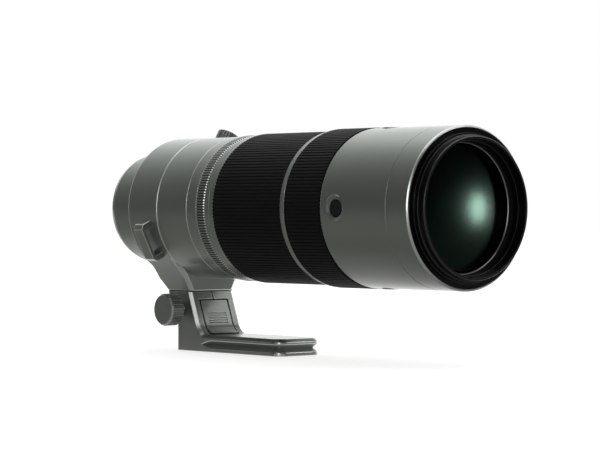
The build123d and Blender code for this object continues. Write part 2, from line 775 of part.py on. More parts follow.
# Index band: fixed ring behind the zoom ring, with a fine line turned in it
line_width = 0.5
line_depth = 0.3
line_offset_length = 3.4

with BuildPart() as index_band:
    revolve(tube_section(fixed_bore, band_radius, index_rear, index_front), axis=Axis.Y)
    revolve(tube_section(band_radius - line_depth, band_radius + overrun, index_rear + line_offset_length,
                         index_rear + line_offset_length + line_width), axis=Axis.Y, mode=Mode.SUBTRACT)
finish(index_band, "index_band")

# Zoom ring: sleeve, ribbed rubber grip and the key that turns the cam barrel
grip_thickness = 1.9
rib_depth = 0.6
rib_share = 0.42
zoom_rib_count = 135
focus_rib_count = 138
key_pocket_depth = 1.4


def key_box(play):
    """A block at the key, wider by a play all round, from the cam barrel to the zoom sleeve."""
    with BuildSketch(radial(key_station, key_angle, cam_bore - overrun)) as block:
        Rectangle(key_length + 2 * play, key_width + 2 * play)
    return block.sketch


cam_bore = guide_tube_radius + running_gap
cam_wall = 2.3
cam_radius = cam_bore + cam_wall

with BuildPart() as zoom_sleeve:
    revolve(tube_section(sleeve_bore, zoom_radius - grip_thickness, zoom_rear, zoom_front),
            axis=Axis.Y)
    extrude(key_box(seat_gap), amount=sleeve_bore + key_pocket_depth - cam_bore + overrun,
            mode=Mode.SUBTRACT)
finish(zoom_sleeve, "zoom_sleeve")

with BuildPart() as zoom_grip:
    extrude(grip_face(station(zoom_rear), zoom_radius, rib_depth, zoom_rib_count, rib_share),
            amount=zoom_ring_length)
    revolve(tube_section(0, zoom_radius - grip_thickness, zoom_rear - overrun, zoom_front + overrun),
            axis=Axis.Y, mode=Mode.SUBTRACT)
finish(zoom_grip, "zoom_grip")

with BuildPart() as zoom_key:
    with BuildSketch(radial(key_station, key_angle, cam_bore + seat_gap)):
        Rectangle(key_length, key_width)
    extrude(amount=sleeve_bore + key_pocket_depth - cam_bore - 2 * seat_gap)
finish(zoom_key, "zoom_key")

# Guide tube: fixed tube with straight slots, held by a flange at each end
guide_flange_length = 2.5
cell_length = 16.0
pin_radius = 1.6
slot_width = 2 * (pin_radius + running_gap)
cam_pin_count = 3
variator_rear_length = 15.8
variator_travel = 40.0
compensator_front_length = 18.6
compensator_travel = -26.0
guide_front = divider_front
variator_start = guide_rear + variator_rear_length
compensator_start = guide_front - compensator_front_length
groups = ((variator_start, variator_travel), (compensator_start, compensator_travel))
pin_angles = [60 + index * 360 / cam_pin_count for index in range(cam_pin_count)]

with BuildPart() as guide_tube:
    revolve(tube_section(guide_bore, guide_tube_radius, guide_rear, guide_front), axis=Axis.Y)
    for place in (guide_rear, guide_front - guide_flange_length):
        revolve(tube_section(guide_bore, main_tube_bore - seat_gap, place, place + guide_flange_length),
                axis=Axis.Y)
    for start, travel in groups:
        for clock in pin_angles:
            with BuildSketch(radial(start + travel / 2, clock, guide_bore - overrun)):
                SlotCenterToCenter(abs(travel), slot_width)
            extrude(amount=guide_tube_wall + 2 * overrun, mode=Mode.SUBTRACT)
    rod_sockets()
finish(guide_tube, "guide_tube")

# Cam barrel: turns round the guide tube, with three helical slots for each lens group
cam_rear = guide_rear + guide_flange_length + ring_gap
cam_front = guide_front - guide_flange_length - ring_gap
cam_middle = (cam_bore + cam_radius) / 2

with BuildPart() as cam_barrel:
    revolve(tube_section(cam_bore, cam_radius, cam_rear, cam_front), axis=Axis.Y)
    for start, travel in groups:
        for clock in pin_angles:
            low, low_clock = (start, clock) if travel > 0 else (start + travel, clock - zoom_angle)
            with BuildLine() as turn:
                Helix(pitch=abs(travel) * 360 / zoom_angle, height=abs(travel), radius=cam_middle,
                      lefthand=travel > 0)
            helix = turn.line.moved(station(low, low_clock).location)
            with BuildSketch(Plane(origin=helix @ 0, x_dir=direction(low_clock), z_dir=helix % 0)):
                Rectangle(2 * cam_wall, slot_width)
            sweep(path=helix, is_frenet=True, mode=Mode.SUBTRACT)
    for start, travel in groups:
        for clock in pin_angles:
            for place, end_clock in ((start, clock), (start + travel, clock - zoom_angle)):
                with BuildSketch(radial(place, end_clock, cam_bore - overrun)):
                    Circle(slot_width / 2 + seat_gap)
                extrude(amount=cam_wall + 2 * overrun, mode=Mode.SUBTRACT)
    extrude(key_box(seat_gap), amount=cam_wall + 2 * overrun, mode=Mode.SUBTRACT)
finish(cam_barrel, "cam_barrel")

# Lens groups that the cams move: a cell, its glass and three pins each
cell_radius = guide_bore - running_gap
cell_wall = 3.0
cell_shelf_width = 2.0
group_glass_length = 6.0
variator_rear_bulge = -2.4
variator_front_bulge = -3.0
compensator_rear_bulge = 2.2
compensator_front_bulge = 2.6
group_bulges = ((variator_rear_bulge, variator_front_bulge),
                (compensator_rear_bulge, compensator_front_bulge))
group_names = ("variator", "compensator")

for name, (start, travel), (rear_bulge, front_bulge) in zip(group_names, groups, group_bulges):
    cell_rear = start - cell_length / 2
    glass_rear = start - group_glass_length / 2
    glass_edge = cell_radius - cell_wall
    with BuildPart() as cell:
        revolve(tube_section(glass_edge, cell_radius, cell_rear, cell_rear + cell_length),
                axis=Axis.Y)
        shelf_front = glass_rear - running_gap
        revolve(tube_section(glass_edge - cell_shelf_width, cell_radius,
                             shelf_front - cell_shelf_width, shelf_front), axis=Axis.Y)
        for clock in pin_angles:
            with BuildSketch(radial(start, clock, glass_edge + seat_gap)):
                Circle(pin_radius + seat_gap)
            extrude(amount=2 * cell_wall, mode=Mode.SUBTRACT)
    finish(cell, f"{name}_cell")
    with BuildPart() as glass:
        revolve(glass_section(glass_edge - seat_gap, glass_rear, glass_rear + group_glass_length,
                              rear_bulge, front_bulge), axis=Axis.Y)
    finish(glass, f"{name}_element")
    with BuildPart() as pins:
        for clock in pin_angles:
            with BuildSketch(radial(start, clock, glass_edge + 2 * seat_gap)):
                Circle(pin_radius)
            extrude(amount=cam_radius - glass_edge - 2 * seat_gap - running_gap)
    finish(pins, f"{name}_pins")

# Focusing group: a light cell that slides on two rods between the main tube and the guide tube
rod_ear_radius = 3.6
focus_cell_space_height = 2.0
focus_cell_length = 8.0
focus_cell_space_length = 2.0
focus_glass_length = 4.0
focus_rear_bulge = -1.6
focus_front_bulge = 2.0
focus_cell_radius = guide_bore - focus_cell_space_height
focus_cell_rear = wall_front + focus_cell_space_length

with BuildPart() as focus_rods:
    for clock in rod_angles:
        with BuildSketch(station(wall_front - rod_socket_depth + seat_gap, clock)):
            with Locations((rod_circle_radius, 0)):
                Circle(rod_radius)
        extrude(amount=guide_rear + 2 * rod_socket_depth - wall_front - 2 * seat_gap)
finish(focus_rods, "focus_rods")

with BuildPart() as focus_cell:
    revolve(tube_section(focus_cell_radius - cell_wall, focus_cell_radius, focus_cell_rear,
                         focus_cell_rear + focus_cell_length), axis=Axis.Y)
    for clock in rod_angles:
        with BuildSketch(station(focus_cell_rear, clock)):
            with Locations((rod_circle_radius, 0)):
                Circle(rod_ear_radius)
            with Locations((rod_circle_radius - rod_ear_radius, 0)):
                Rectangle(2 * rod_ear_radius - cell_wall, 2 * rod_ear_radius)
            with Locations((rod_circle_radius, 0)):
                Circle(rod_radius + pin_gap, mode=Mode.SUBTRACT)
        extrude(amount=focus_cell_length)
finish(focus_cell, "focus_cell")

with BuildPart() as focus_element:
    glass_rear = focus_cell_rear + (focus_cell_length - focus_glass_length) / 2
    revolve(glass_section(focus_cell_radius - cell_wall - seat_gap, glass_rear,
                          glass_rear + focus_glass_length, focus_rear_bulge, focus_front_bulge),
            axis=Axis.Y)
finish(focus_element, "focus_element")

# Iris: housing in the guide tube, a drive ring and seven leaves that pivot on the housing
iris_gap = 0.6
iris_length = 7.0
iris_wall = 1.2
iris_width = 13.0
leaf_count = 7
leaf_thickness = 0.2
leaf_pitch_height = 0.4
leaf_angle = 74
leaf_half_width = 3.2
iris_station = variator_start + variator_travel + cell_length / 2 + iris_gap
iris_opening_radius = guide_bore - iris_width
leaf_circle_radius = iris_opening_radius + leaf_half_width + ring_gap
leaf_pin_radius = 0.8
leaf_ear_radius = 1.7
leaf_pivot_circle_radius = leaf_circle_radius + leaf_half_width + leaf_ear_radius
iris_rim = guide_bore - seat_gap - 2 * iris_wall
leaf_stack = leaf_count * leaf_pitch_height
iris_floor = iris_station + iris_wall
drive_thickness = 1.2

with BuildPart() as iris_housing:
    revolve(half_section(
        (iris_opening_radius, iris_station), (guide_bore - seat_gap, iris_station),
        (guide_bore - seat_gap, iris_station + iris_length), (iris_rim, iris_station + iris_length),
        (iris_rim, iris_floor), (iris_opening_radius, iris_floor)), axis=Axis.Y)
    with BuildSketch(station(iris_floor)):
        with PolarLocations(leaf_pivot_circle_radius, leaf_count):
            Circle(leaf_pin_radius)
    extrude(amount=leaf_stack + running_gap)
finish(iris_housing, "iris_housing")

leaf_spine = CenterArc((0, 0), leaf_circle_radius, 0, leaf_angle)
for index in range(leaf_count):
    clock = index * 360 / leaf_count
    with BuildPart() as leaf:
        with BuildSketch(station(iris_floor + leaf_pitch_height / 2 + index * leaf_pitch_height, clock)):
            SlotArc(leaf_spine, 2 * leaf_half_width)
            with Locations(((leaf_circle_radius + leaf_pivot_circle_radius) / 2, 0)):
                Rectangle(leaf_pivot_circle_radius - leaf_circle_radius, 2 * leaf_ear_radius)
            with Locations((leaf_pivot_circle_radius, 0)):
                Circle(leaf_ear_radius)
                Circle(leaf_pin_radius + pin_gap, mode=Mode.SUBTRACT)
        extrude(amount=leaf_thickness)
    finish(leaf, f"iris_leaf_{index + 1}")

with BuildPart() as iris_drive_ring:
    drive_rear = iris_floor + leaf_stack + 2 * running_gap
    revolve(tube_section(iris_opening_radius + ring_gap, iris_rim - running_gap, drive_rear,
                         drive_rear + drive_thickness), axis=Axis.Y)
finish(iris_drive_ring, "iris_drive_ring")

# Divider ring: fixed step between the two rubber grips, with two bright turned edges
divider_edge_height = 0.6

with BuildPart() as divider_ring:
    middle = divider_rear + divider_length / 2
    revolve(half_section(
        (fixed_bore, divider_rear), (divider_radius - divider_edge_height, divider_rear),
        (divider_radius - divider_edge_height, middle), (divider_radius, middle + divider_edge_height),
        (divider_radius, divider_front), (fixed_bore, divider_front)), axis=Axis.Y)
finish(divider_ring, "divider_ring")

# Focus ring: sleeve and ribbed rubber grip, free to turn without end
with BuildPart() as focus_sleeve:
    revolve(tube_section(sleeve_bore, focus_radius - grip_thickness, focus_rear, focus_front),
            axis=Axis.Y)
finish(focus_sleeve, "focus_sleeve")

with BuildPart() as focus_grip:
    extrude(grip_face(station(focus_rear), focus_radius, rib_depth, focus_rib_count, rib_share),
            amount=focus_ring_length)
    revolve(tube_section(0, focus_radius - grip_thickness, focus_rear - overrun, focus_front + overrun),
            axis=Axis.Y, mode=Mode.SUBTRACT)
finish(focus_grip, "focus_grip")

# Front barrel: wide shell with four dished button wells and a fine groove near the rim
front_wall = 2.8
front_chamfer = 1.0
counterbore_width = 1.4
counterbore_depth = 2.7
groove_offset_length = 18.5
well_rear_length = 13.3
well_radius = 7.8
well_depth = 1.3
focus_button_radius = 5.2
focus_button_sink_depth = 1.1
focus_button_flange_width = 1.0
flange_height = 0.8
well_angles = (0, 90, 180, 270)
front_bore = front_radius - front_wall
well_station = barrel_rear + well_rear_length

with BuildPart() as front_barrel:
    rim = front_bore + counterbore_width
    revolve(half_section(
        (fixed_bore, barrel_rear), (front_radius - barrel_chamfer, barrel_rear),
        (front_radius, barrel_rear + barrel_chamfer), (front_radius, barrel_front - front_chamfer),
        (front_radius - front_chamfer, barrel_front), (rim, barrel_front),
        (rim, barrel_front - counterbore_depth), (front_bore, barrel_front - counterbore_depth),
        (front_bore, main_tube_front), (fixed_bore, main_tube_front)), axis=Axis.Y)
    groove_front = barrel_front - groove_offset_length
    revolve(tube_section(front_radius - line_depth, front_radius + overrun, groove_front - line_width,
                         groove_front), axis=Axis.Y, mode=Mode.SUBTRACT)
    for clock in well_angles:
        with BuildSketch(radial(well_station, clock, front_radius)):
            Circle(well_radius)
        with BuildSketch(radial(well_station, clock, front_radius - well_depth)):
            Circle(focus_button_radius + 2 * running_gap)
        loft(mode=Mode.SUBTRACT)
        with BuildSketch(radial(well_station, clock, front_bore - overrun)):
            Circle(focus_button_radius + running_gap)
        extrude(amount=front_wall + 2 * overrun, mode=Mode.SUBTRACT)
finish(front_barrel, "front_barrel")

for index, clock in enumerate(well_angles):
    flange_base = front_bore - ring_gap - flange_height
    with BuildPart() as button:
        with BuildSketch(radial(well_station, clock, flange_base)):
            Circle(focus_button_radius + focus_button_flange_width)
        extrude(amount=flange_height)
        with BuildSketch(radial(well_station, clock, flange_base)):
            Circle(focus_button_radius)
        extrude(amount=front_radius - focus_button_sink_depth - flange_base)
        crown = button.faces().sort_by(Axis(origin=(0, 0, 0), direction=direction(clock)))[-1]
        chamfer(crown.edges(), length=running_gap)
    finish(button, f"focus_button_{index + 1}")

# Front cell, glass and retaining ring
glass_step_depth = 3.0
glass_rim_depth = 5.4
glass_rim_length = 11.4
glass_bulge = 5.0
glass_rear_bulge = 2.0
cell_lip_width = 1.6
cell_lip_length = 2.4
retainer_lip_width = 1.0
retainer_length = 2.4
retainer_seat_width = 1.8
cell_front = barrel_front - counterbore_depth
glass_radius = filter_radius - glass_step_depth
glass_rim_front = cell_front - glass_rim_depth
glass_rim_rear = glass_rim_front - glass_rim_length
retainer_bore = glass_radius - retainer_lip_width
retainer_radius = glass_radius + retainer_seat_width

with BuildPart() as front_cell:
    revolve(half_section(
        (glass_radius - cell_lip_width, glass_rim_rear - cell_lip_length),
        (front_bore - seat_gap, glass_rim_rear - cell_lip_length),
        (front_bore - seat_gap, cell_front), (retainer_radius, cell_front),
        (retainer_radius, glass_rim_front), (glass_radius, glass_rim_front),
        (glass_radius, glass_rim_rear), (glass_radius - cell_lip_width, glass_rim_rear)), axis=Axis.Y)
finish(front_cell, "front_cell")

with BuildPart() as front_element:
    revolve(glass_section(glass_radius - seat_gap, glass_rim_rear, glass_rim_front,
                          -glass_rear_bulge, glass_bulge), axis=Axis.Y)
finish(front_element, "front_element")

with BuildPart() as front_retainer:
    retainer_rear = glass_rim_front + running_gap
    revolve(half_section(
        (retainer_bore, retainer_rear + running_gap), (retainer_radius - seat_gap, retainer_rear),
        (retainer_radius - seat_gap, retainer_rear + retainer_length),
        (retainer_radius - cell_lip_width, retainer_rear + retainer_length),
        (retainer_bore, retainer_rear + 2 * running_gap)), axis=Axis.Y)
finish(front_retainer, "front_retainer")

# Filter ring: black nose with the hood ridges outside and the filter thread inside
nose_wall = 1.6
ridge_count_front = 4
ridge_step_height = 1.0
nose_flange_length = 1.2
thread_depth = 5.6
nose_bevel_length = 0.4
nose_base = cell_front + nose_flange_length
ridge_length = (nose_front - nose_base) / ridge_count_front
nose_radius = filter_radius + nose_wall

with BuildPart() as filter_ring:
    revolve(half_section(
        (retainer_radius, cell_front), (rim - seat_gap, cell_front), (rim - seat_gap, nose_base),
        (nose_radius + 2 * ridge_step_height, nose_base),
        (nose_radius + 2 * ridge_step_height, nose_base + ridge_length),
        (nose_radius + ridge_step_height, nose_base + ridge_length),
        (nose_radius + ridge_step_height, nose_base + 2 * ridge_length),
        (nose_radius, nose_base + 2 * ridge_length + nose_bevel_length),
        (nose_radius, nose_front - nose_bevel_length), (nose_radius - nose_bevel_length, nose_front),
        (filter_radius, nose_front), (filter_radius, nose_front - thread_depth),
        (retainer_radius, nose_front - thread_depth)), axis=Axis.Y)
finish(filter_ring, "filter_ring")

# Second lens group, fixed behind the front glass
doublet_step_depth = 4.0
doublet_space_length = 26.0
doublet_length = 9.0
doublet_rear_bulge = 1.8
doublet_front_bulge = 2.6
web_length = 4.0
doublet_radius = glass_radius - doublet_step_depth
doublet_station = glass_rim_rear - doublet_space_length

with BuildPart() as doublet_cell:
    revolve(tube_section(doublet_radius, front_bore - seat_gap, doublet_station,
                         doublet_station + web_length), axis=Axis.Y)
    revolve(tube_section(doublet_radius, doublet_radius + cell_wall, doublet_station,
                         doublet_station + doublet_length), axis=Axis.Y)
finish(doublet_cell, "doublet_cell")

with BuildPart() as doublet_element:
    revolve(glass_section(doublet_radius - seat_gap, doublet_station, doublet_station + doublet_length,
                          doublet_rear_bulge, doublet_front_bulge), axis=Axis.Y)
finish(doublet_element, "doublet_element")
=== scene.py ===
"""Looks of the telephoto zoom lens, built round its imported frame.

Every place is in metres in the part's own frame: the optical axis lies along Y, the front glass
faces -Y and +Z is up. A station is a distance in front of the mount flange, so station = -y.
"""
import math

import bmesh
import bpy
import numpy as np
from mathutils import Matrix, Vector


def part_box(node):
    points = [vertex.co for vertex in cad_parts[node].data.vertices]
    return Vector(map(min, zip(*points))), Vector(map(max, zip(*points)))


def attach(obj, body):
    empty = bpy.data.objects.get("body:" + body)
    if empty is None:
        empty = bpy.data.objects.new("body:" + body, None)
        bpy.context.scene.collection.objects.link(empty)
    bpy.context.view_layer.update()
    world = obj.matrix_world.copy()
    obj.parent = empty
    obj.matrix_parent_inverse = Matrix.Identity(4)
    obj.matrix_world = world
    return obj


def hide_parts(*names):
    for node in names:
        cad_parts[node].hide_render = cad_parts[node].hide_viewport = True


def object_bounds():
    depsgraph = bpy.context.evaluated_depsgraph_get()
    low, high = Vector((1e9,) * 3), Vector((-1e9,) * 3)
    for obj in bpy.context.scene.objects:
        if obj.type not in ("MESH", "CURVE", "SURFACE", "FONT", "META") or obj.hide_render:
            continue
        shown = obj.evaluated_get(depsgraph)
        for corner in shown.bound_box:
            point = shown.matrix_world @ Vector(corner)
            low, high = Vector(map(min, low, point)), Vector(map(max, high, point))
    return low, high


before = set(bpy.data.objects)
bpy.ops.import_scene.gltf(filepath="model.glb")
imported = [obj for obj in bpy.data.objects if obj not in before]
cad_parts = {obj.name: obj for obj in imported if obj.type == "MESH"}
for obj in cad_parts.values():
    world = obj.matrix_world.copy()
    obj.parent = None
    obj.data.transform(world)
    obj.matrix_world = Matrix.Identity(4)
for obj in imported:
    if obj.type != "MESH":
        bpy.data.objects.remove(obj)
cad_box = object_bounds()

# Camera: a long focal length at the height of the optical axis, turned 40 degrees off it, as the
# photograph's outline and seams ask. The picture is 600 by 450 points.
picture_width = 600
picture_focal = 2500
sensor_width = 36.0
view_turn = math.radians(40.31)
view_across = -0.0998
view_depth = 1.7067
axis_row_above_middle = 16.7
camera_near = 0.05
camera_far = 60.0

camera_data = bpy.data.cameras.new("camera")
camera_data.sensor_width = sensor_width
camera_data.lens = sensor_width * picture_focal / picture_width
camera_data.clip_start = camera_near
camera_data.clip_end = camera_far
camera = bpy.data.objects.new("camera", camera_data)
camera_right = Vector((math.cos(view_turn), -math.sin(view_turn), 0.0))
camera_forward = Vector((math.sin(view_turn), math.cos(view_turn), 0.0))
camera.location = -view_across * camera_right - view_depth * camera_forward
pitch = math.atan(axis_row_above_middle / picture_focal)
camera.rotation_euler = (math.radians(90) - pitch, 0.0, -view_turn)
bpy.context.collection.objects.link(camera)
bpy.context.scene.camera = camera
bpy.context.scene.view_settings.view_transform = "Standard"

# Studio: a pale floor under the foot, which brightens into the white for the camera. The object
# sees it dark beside the camera and in front, and bright below and behind its far side, which draws
# the dark flank and the light lower limb.
floor_half = 6.0
floor_gap = 0.0002
floor_level = cad_box[0][2] - floor_gap
floor_colour = (0.43, 0.422, 0.40, 1.0)
floor_roughness = 0.9
floor_specular = 0.1
floor_centre = (0.0, -0.1, floor_level)
floor_glow_near = 0.76
floor_glow_far = 1.0
glow_start = 0.15
glow_end = 0.7
floor_far_strength = 1.5
far_start = -0.085
far_end = 0.16
front_end = -0.30
rear_start = -0.20


def new_material(name):
    """An empty node material: returns it with its node tree, its shader and its links."""
    material = bpy.data.materials.new(name)
    material.use_nodes = True
    tree = material.node_tree
    return material, tree.nodes, tree.links, tree.nodes["Principled BSDF"]


def add_object(name, mesh):
    """A scene object at the origin that shows a mesh."""
    piece = bpy.data.objects.new(name, mesh)
    bpy.context.collection.objects.link(piece)
    return piece


floor_mesh = bpy.data.meshes.new("floor")
floor_mesh.from_pydata([(-floor_half, -floor_half, floor_level), (floor_half, -floor_half, floor_level),
                        (floor_half, floor_half, floor_level), (-floor_half, floor_half, floor_level)],
                       [], [(0, 1, 2, 3)])
floor = add_object("floor", floor_mesh)
floor_material, nodes, links, shader = new_material("pale_floor")
shader.inputs["Base Color"].default_value = floor_colour
shader.inputs["Roughness"].default_value = floor_roughness
shader.inputs["Specular IOR Level"].default_value = floor_specular
floor_mesh.materials.append(floor_material)
place = nodes.new("ShaderNodeTexCoord")
distance = nodes.new("ShaderNodeVectorMath")
distance.operation = "DISTANCE"
distance.inputs[1].default_value = floor_centre
glow = nodes.new("ShaderNodeMapRange")
glow.inputs["From Min"].default_value = glow_start
glow.inputs["From Max"].default_value = glow_end
glow.inputs["To Min"].default_value = floor_glow_near
glow.inputs["To Max"].default_value = floor_glow_far
split = nodes.new("ShaderNodeSeparateXYZ")
across = nodes.new("ShaderNodeMapRange")
across.inputs["From Min"].default_value = far_start
across.inputs["From Max"].default_value = far_end
across.inputs["To Max"].default_value = floor_far_strength
ahead = nodes.new("ShaderNodeMapRange")
ahead.inputs["From Min"].default_value = front_end
ahead.inputs["From Max"].default_value = rear_start
far = nodes.new("ShaderNodeMath")
far.operation = "MULTIPLY"
path = nodes.new("ShaderNodeLightPath")
strength = nodes.new("ShaderNodeMix")
emission = nodes.new("ShaderNodeEmission")
total = nodes.new("ShaderNodeAddShader")
links.new(place.outputs["Object"], distance.inputs[0])
links.new(place.outputs["Object"], split.inputs[0])
links.new(distance.outputs["Value"], glow.inputs["Value"])
links.new(split.outputs["X"], across.inputs["Value"])
links.new(split.outputs["Y"], ahead.inputs["Value"])
links.new(across.outputs["Result"], far.inputs[0])
links.new(ahead.outputs["Result"], far.inputs[1])
links.new(path.outputs["Is Camera Ray"], strength.inputs["Factor"])
links.new(far.outputs["Value"], strength.inputs[2])
links.new(glow.outputs["Result"], strength.inputs[3])
links.new(strength.outputs[0], emission.inputs["Strength"])
links.new(shader.outputs[0], total.inputs[0])
links.new(emission.outputs[0], total.inputs[1])
links.new(total.outputs[0], nodes["Material Output"].inputs["Surface"])

# Surround: white for the camera. For reflections it is a white wall behind the lens that fades to a
# dim room on the photographer's side, which gives the paint its bright edges and dark middle.
surround_white = (1.0, 1.0, 1.0, 1.0)
surround_strength = 1.5
room_colour = (0.97, 1.0, 0.98, 1.0)
room_strength = 0.03
wall_start = 0.14
wall_full = 1.0

world = bpy.data.worlds.new("studio")
bpy.context.scene.world = world
world.use_nodes = True
nodes, links = world.node_tree.nodes, world.node_tree.links
nodes.clear()
path = nodes.new("ShaderNodeLightPath")
place = nodes.new("ShaderNodeTexCoord")
toward = nodes.new("ShaderNodeVectorMath")
toward.operation = "DOT_PRODUCT"
toward.inputs[1].default_value = camera_forward
wall = nodes.new("ShaderNodeMapRange")
wall.interpolation_type = "SMOOTHSTEP"
wall.inputs["From Min"].default_value = wall_start
wall.inputs["From Max"].default_value = wall_full
wall.inputs["To Min"].default_value = room_strength
wall.inputs["To Max"].default_value = surround_strength
white = nodes.new("ShaderNodeBackground")
room = nodes.new("ShaderNodeBackground")
room.inputs["Color"].default_value = room_colour
mix = nodes.new("ShaderNodeMixShader")
out = nodes.new("ShaderNodeOutputWorld")
white.inputs["Color"].default_value = surround_white
links.new(place.outputs["Generated"], toward.inputs[0])
links.new(toward.outputs["Value"], wall.inputs["Value"])
links.new(wall.outputs["Result"], room.inputs["Strength"])
links.new(path.outputs["Is Camera Ray"], mix.inputs[0])
links.new(room.outputs[0], mix.inputs[1])
links.new(white.outputs[0], mix.inputs[2])
links.new(mix.outputs[0], out.inputs["Surface"])


# Lamps: a wide soft one above, a tall narrow one beside the camera, a low one that only glosses the
# edges, one on the far right for the foot's front, and a small round one for the glow in the glass.
axis_middle = (0.0, (cad_box[0][1] + cad_box[1][1]) / 2, 0.0)
top_place, top_size, top_power = (0.1, -0.1, 1.3), (1.6, 1.6), 12.4
side_place, side_size, side_power = (-1.1, -0.95, 0.75), (0.3, 1.7), 2.4
edge_place, edge_size, edge_power = (-1.2, -1.15, 0.28), (0.35, 0.72), 4.2
front_place, front_size, front_power = (0.9, -1.15, 0.8), (0.6, 0.6), 3.6
glass_place, glass_size, glass_power = (0.469, -0.708, 0.0), (0.06, 0.065), 0.62
glass_aim = (0.0, -0.3, 0.0)


def area_lamp(name, place, aim, size, power):
    """A soft lamp of a width and height that faces a point."""
    data = bpy.data.lights.new(name, "AREA")
    data.shape = "RECTANGLE"
    data.size, data.size_y = size
    data.energy = power
    lamp = bpy.data.objects.new(name, data)
    lamp.location = place
    lamp.rotation_euler = (Vector(aim) - Vector(place)).to_track_quat("-Z", "Y").to_euler()
    bpy.context.collection.objects.link(lamp)
    return lamp


area_lamp("top_lamp", top_place, axis_middle, top_size, top_power)
glass_lamp = area_lamp("glass_lamp", glass_place, glass_aim, glass_size, glass_power)
glass_lamp.data.shape = "ELLIPSE"
glass_only = bpy.data.collections.new("glass_only")
glass_lamp.light_linking.receiver_collection = glass_only
area_lamp("side_lamp", side_place, axis_middle, side_size, side_power)
edge_lamp = area_lamp("edge_lamp", edge_place, axis_middle, edge_size, edge_power)
edge_lamp.visible_diffuse = False
area_lamp("front_lamp", front_place, axis_middle, front_size, front_power)

# Rear barrel: narrow aluminium shell behind the tripod collar, turned and then painted in a warm
# satin silver grey. Its paint is the finish of every grey casting of the lens.
paint_colour = (0.226, 0.245, 0.226, 1.0)
paint_shade = (0.206, 0.224, 0.206, 1.0)
paint_metallic = 0.5
paint_roughness = 0.36
paint_coat = 0.4
coat_roughness = 0.14
paint_grain = 2600.0
paint_cloud = 18.0
grain_detail = 3.0
gloss_spread = 0.05
edge_round = 0.0004
edge_chamfer = 0.0006
# The edge colour is part thin paint and part painted highlight.
edge_wear_highlight_colour = (0.62, 0.65, 0.62, 1.0)
edge_roughness = 0.30
edge_break_cells = 700.0
edge_break_least = 0.7
rear_wall = 0.0048
turn_steps = 288
full_turn = 2 * np.pi
tiny = 0.000001


def noise(nodes, links, scale, detail=2.0):
    """Noise on Object coordinates, in cells per metre."""
    place = nodes.new("ShaderNodeTexCoord")
    texture = nodes.new("ShaderNodeTexNoise")
    texture.inputs["Scale"].default_value = scale
    texture.inputs["Detail"].default_value = detail
    links.new(place.outputs["Object"], texture.inputs["Vector"])
    return texture.outputs["Fac"]


def spread(nodes, links, source, low, high):
    """A number between low and high that follows a source between 0 and 1."""
    node = nodes.new("ShaderNodeMapRange")
    node.inputs["To Min"].default_value = low
    node.inputs["To Max"].default_value = high
    links.new(source, node.inputs["Value"])
    return node.outputs["Result"]


def blend_colours(nodes, links, source, low, high):
    """A colour between two that follows a source between 0 and 1."""
    node = nodes.new("ShaderNodeMix")
    node.data_type = "RGBA"
    node.inputs[6].default_value = low
    node.inputs[7].default_value = high
    links.new(source, node.inputs["Factor"])
    return node.outputs[2]


def relief(nodes, links, shader, source, distance, strength):
    """Fine surface relief from a source, as a bump on the shader's normal."""
    node = nodes.new("ShaderNodeBump")
    node.inputs["Distance"].default_value = distance
    node.inputs["Strength"].default_value = strength
    links.new(source, node.inputs["Height"])
    links.new(node.outputs["Normal"], shader.inputs["Normal"])


def finish_material(name, low, high, metallic, rough, grain, cloud, bump=0.00002, bump_strength=0.25,
                    specular=0.5, coat=0.0):
    """A finish with a broad colour cloud, a fine grain in its gloss and a grain relief."""
    material, nodes, links, shader = new_material(name)
    shader.inputs["Coat Weight"].default_value = coat
    shader.inputs["Coat Roughness"].default_value = coat_roughness
    shader.inputs["Metallic"].default_value = metallic
    shader.inputs["Specular IOR Level"].default_value = specular
    links.new(blend_colours(nodes, links, noise(nodes, links, cloud), low, high),
              shader.inputs["Base Color"])
    fine = noise(nodes, links, grain, grain_detail)
    links.new(spread(nodes, links, fine, rough - gloss_spread, rough + gloss_spread),
              shader.inputs["Roughness"])
    relief(nodes, links, shader, fine, bump, bump_strength)
    return material


def edge_wear_and_highlight(material, colour, metallic, rough):
    """Bring out rounded and chamfered edges: faces whose edge attribute is 1 get a lighter, more
    metallic and glossier colour, part thin paint and part painted highlight. A fine noise breaks
    their border."""
    nodes, links = material.node_tree.nodes, material.node_tree.links
    shader = nodes["Principled BSDF"]
    mark = nodes.new("ShaderNodeAttribute")
    mark.attribute_name = "edge"
    wear_and_highlight = nodes.new("ShaderNodeMath")
    wear_and_highlight.operation = "MULTIPLY"
    links.new(mark.outputs["Fac"], wear_and_highlight.inputs[0])
    links.new(spread(nodes, links, noise(nodes, links, edge_break_cells), edge_break_least, 1.0), wear_and_highlight.inputs[1])
    blend = nodes.new("ShaderNodeMix")
    blend.data_type = "RGBA"
    blend.inputs[7].default_value = colour
    links.new(wear_and_highlight.outputs["Value"], blend.inputs["Factor"])
    links.new(shader.inputs["Base Color"].links[0].from_socket, blend.inputs[6])
    links.new(blend.outputs[2], shader.inputs["Base Color"])
    gloss = nodes.new("ShaderNodeMix")
    links.new(wear_and_highlight.outputs["Value"], gloss.inputs["Factor"])
    links.new(shader.inputs["Roughness"].links[0].from_socket, gloss.inputs[2])
    gloss.inputs[3].default_value = rough
    links.new(gloss.outputs[0], shader.inputs["Roughness"])
    links.new(spread(nodes, links, wear_and_highlight.outputs["Value"], shader.inputs["Metallic"].default_value,
                     metallic), shader.inputs["Metallic"])


def reach(node):
    """A round node's outer radius and the stations of its rear and front, read from the frame."""
    low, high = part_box(node)
    return max(high[0] - low[0], high[2] - low[2]) / 2, -high[1], -low[1]


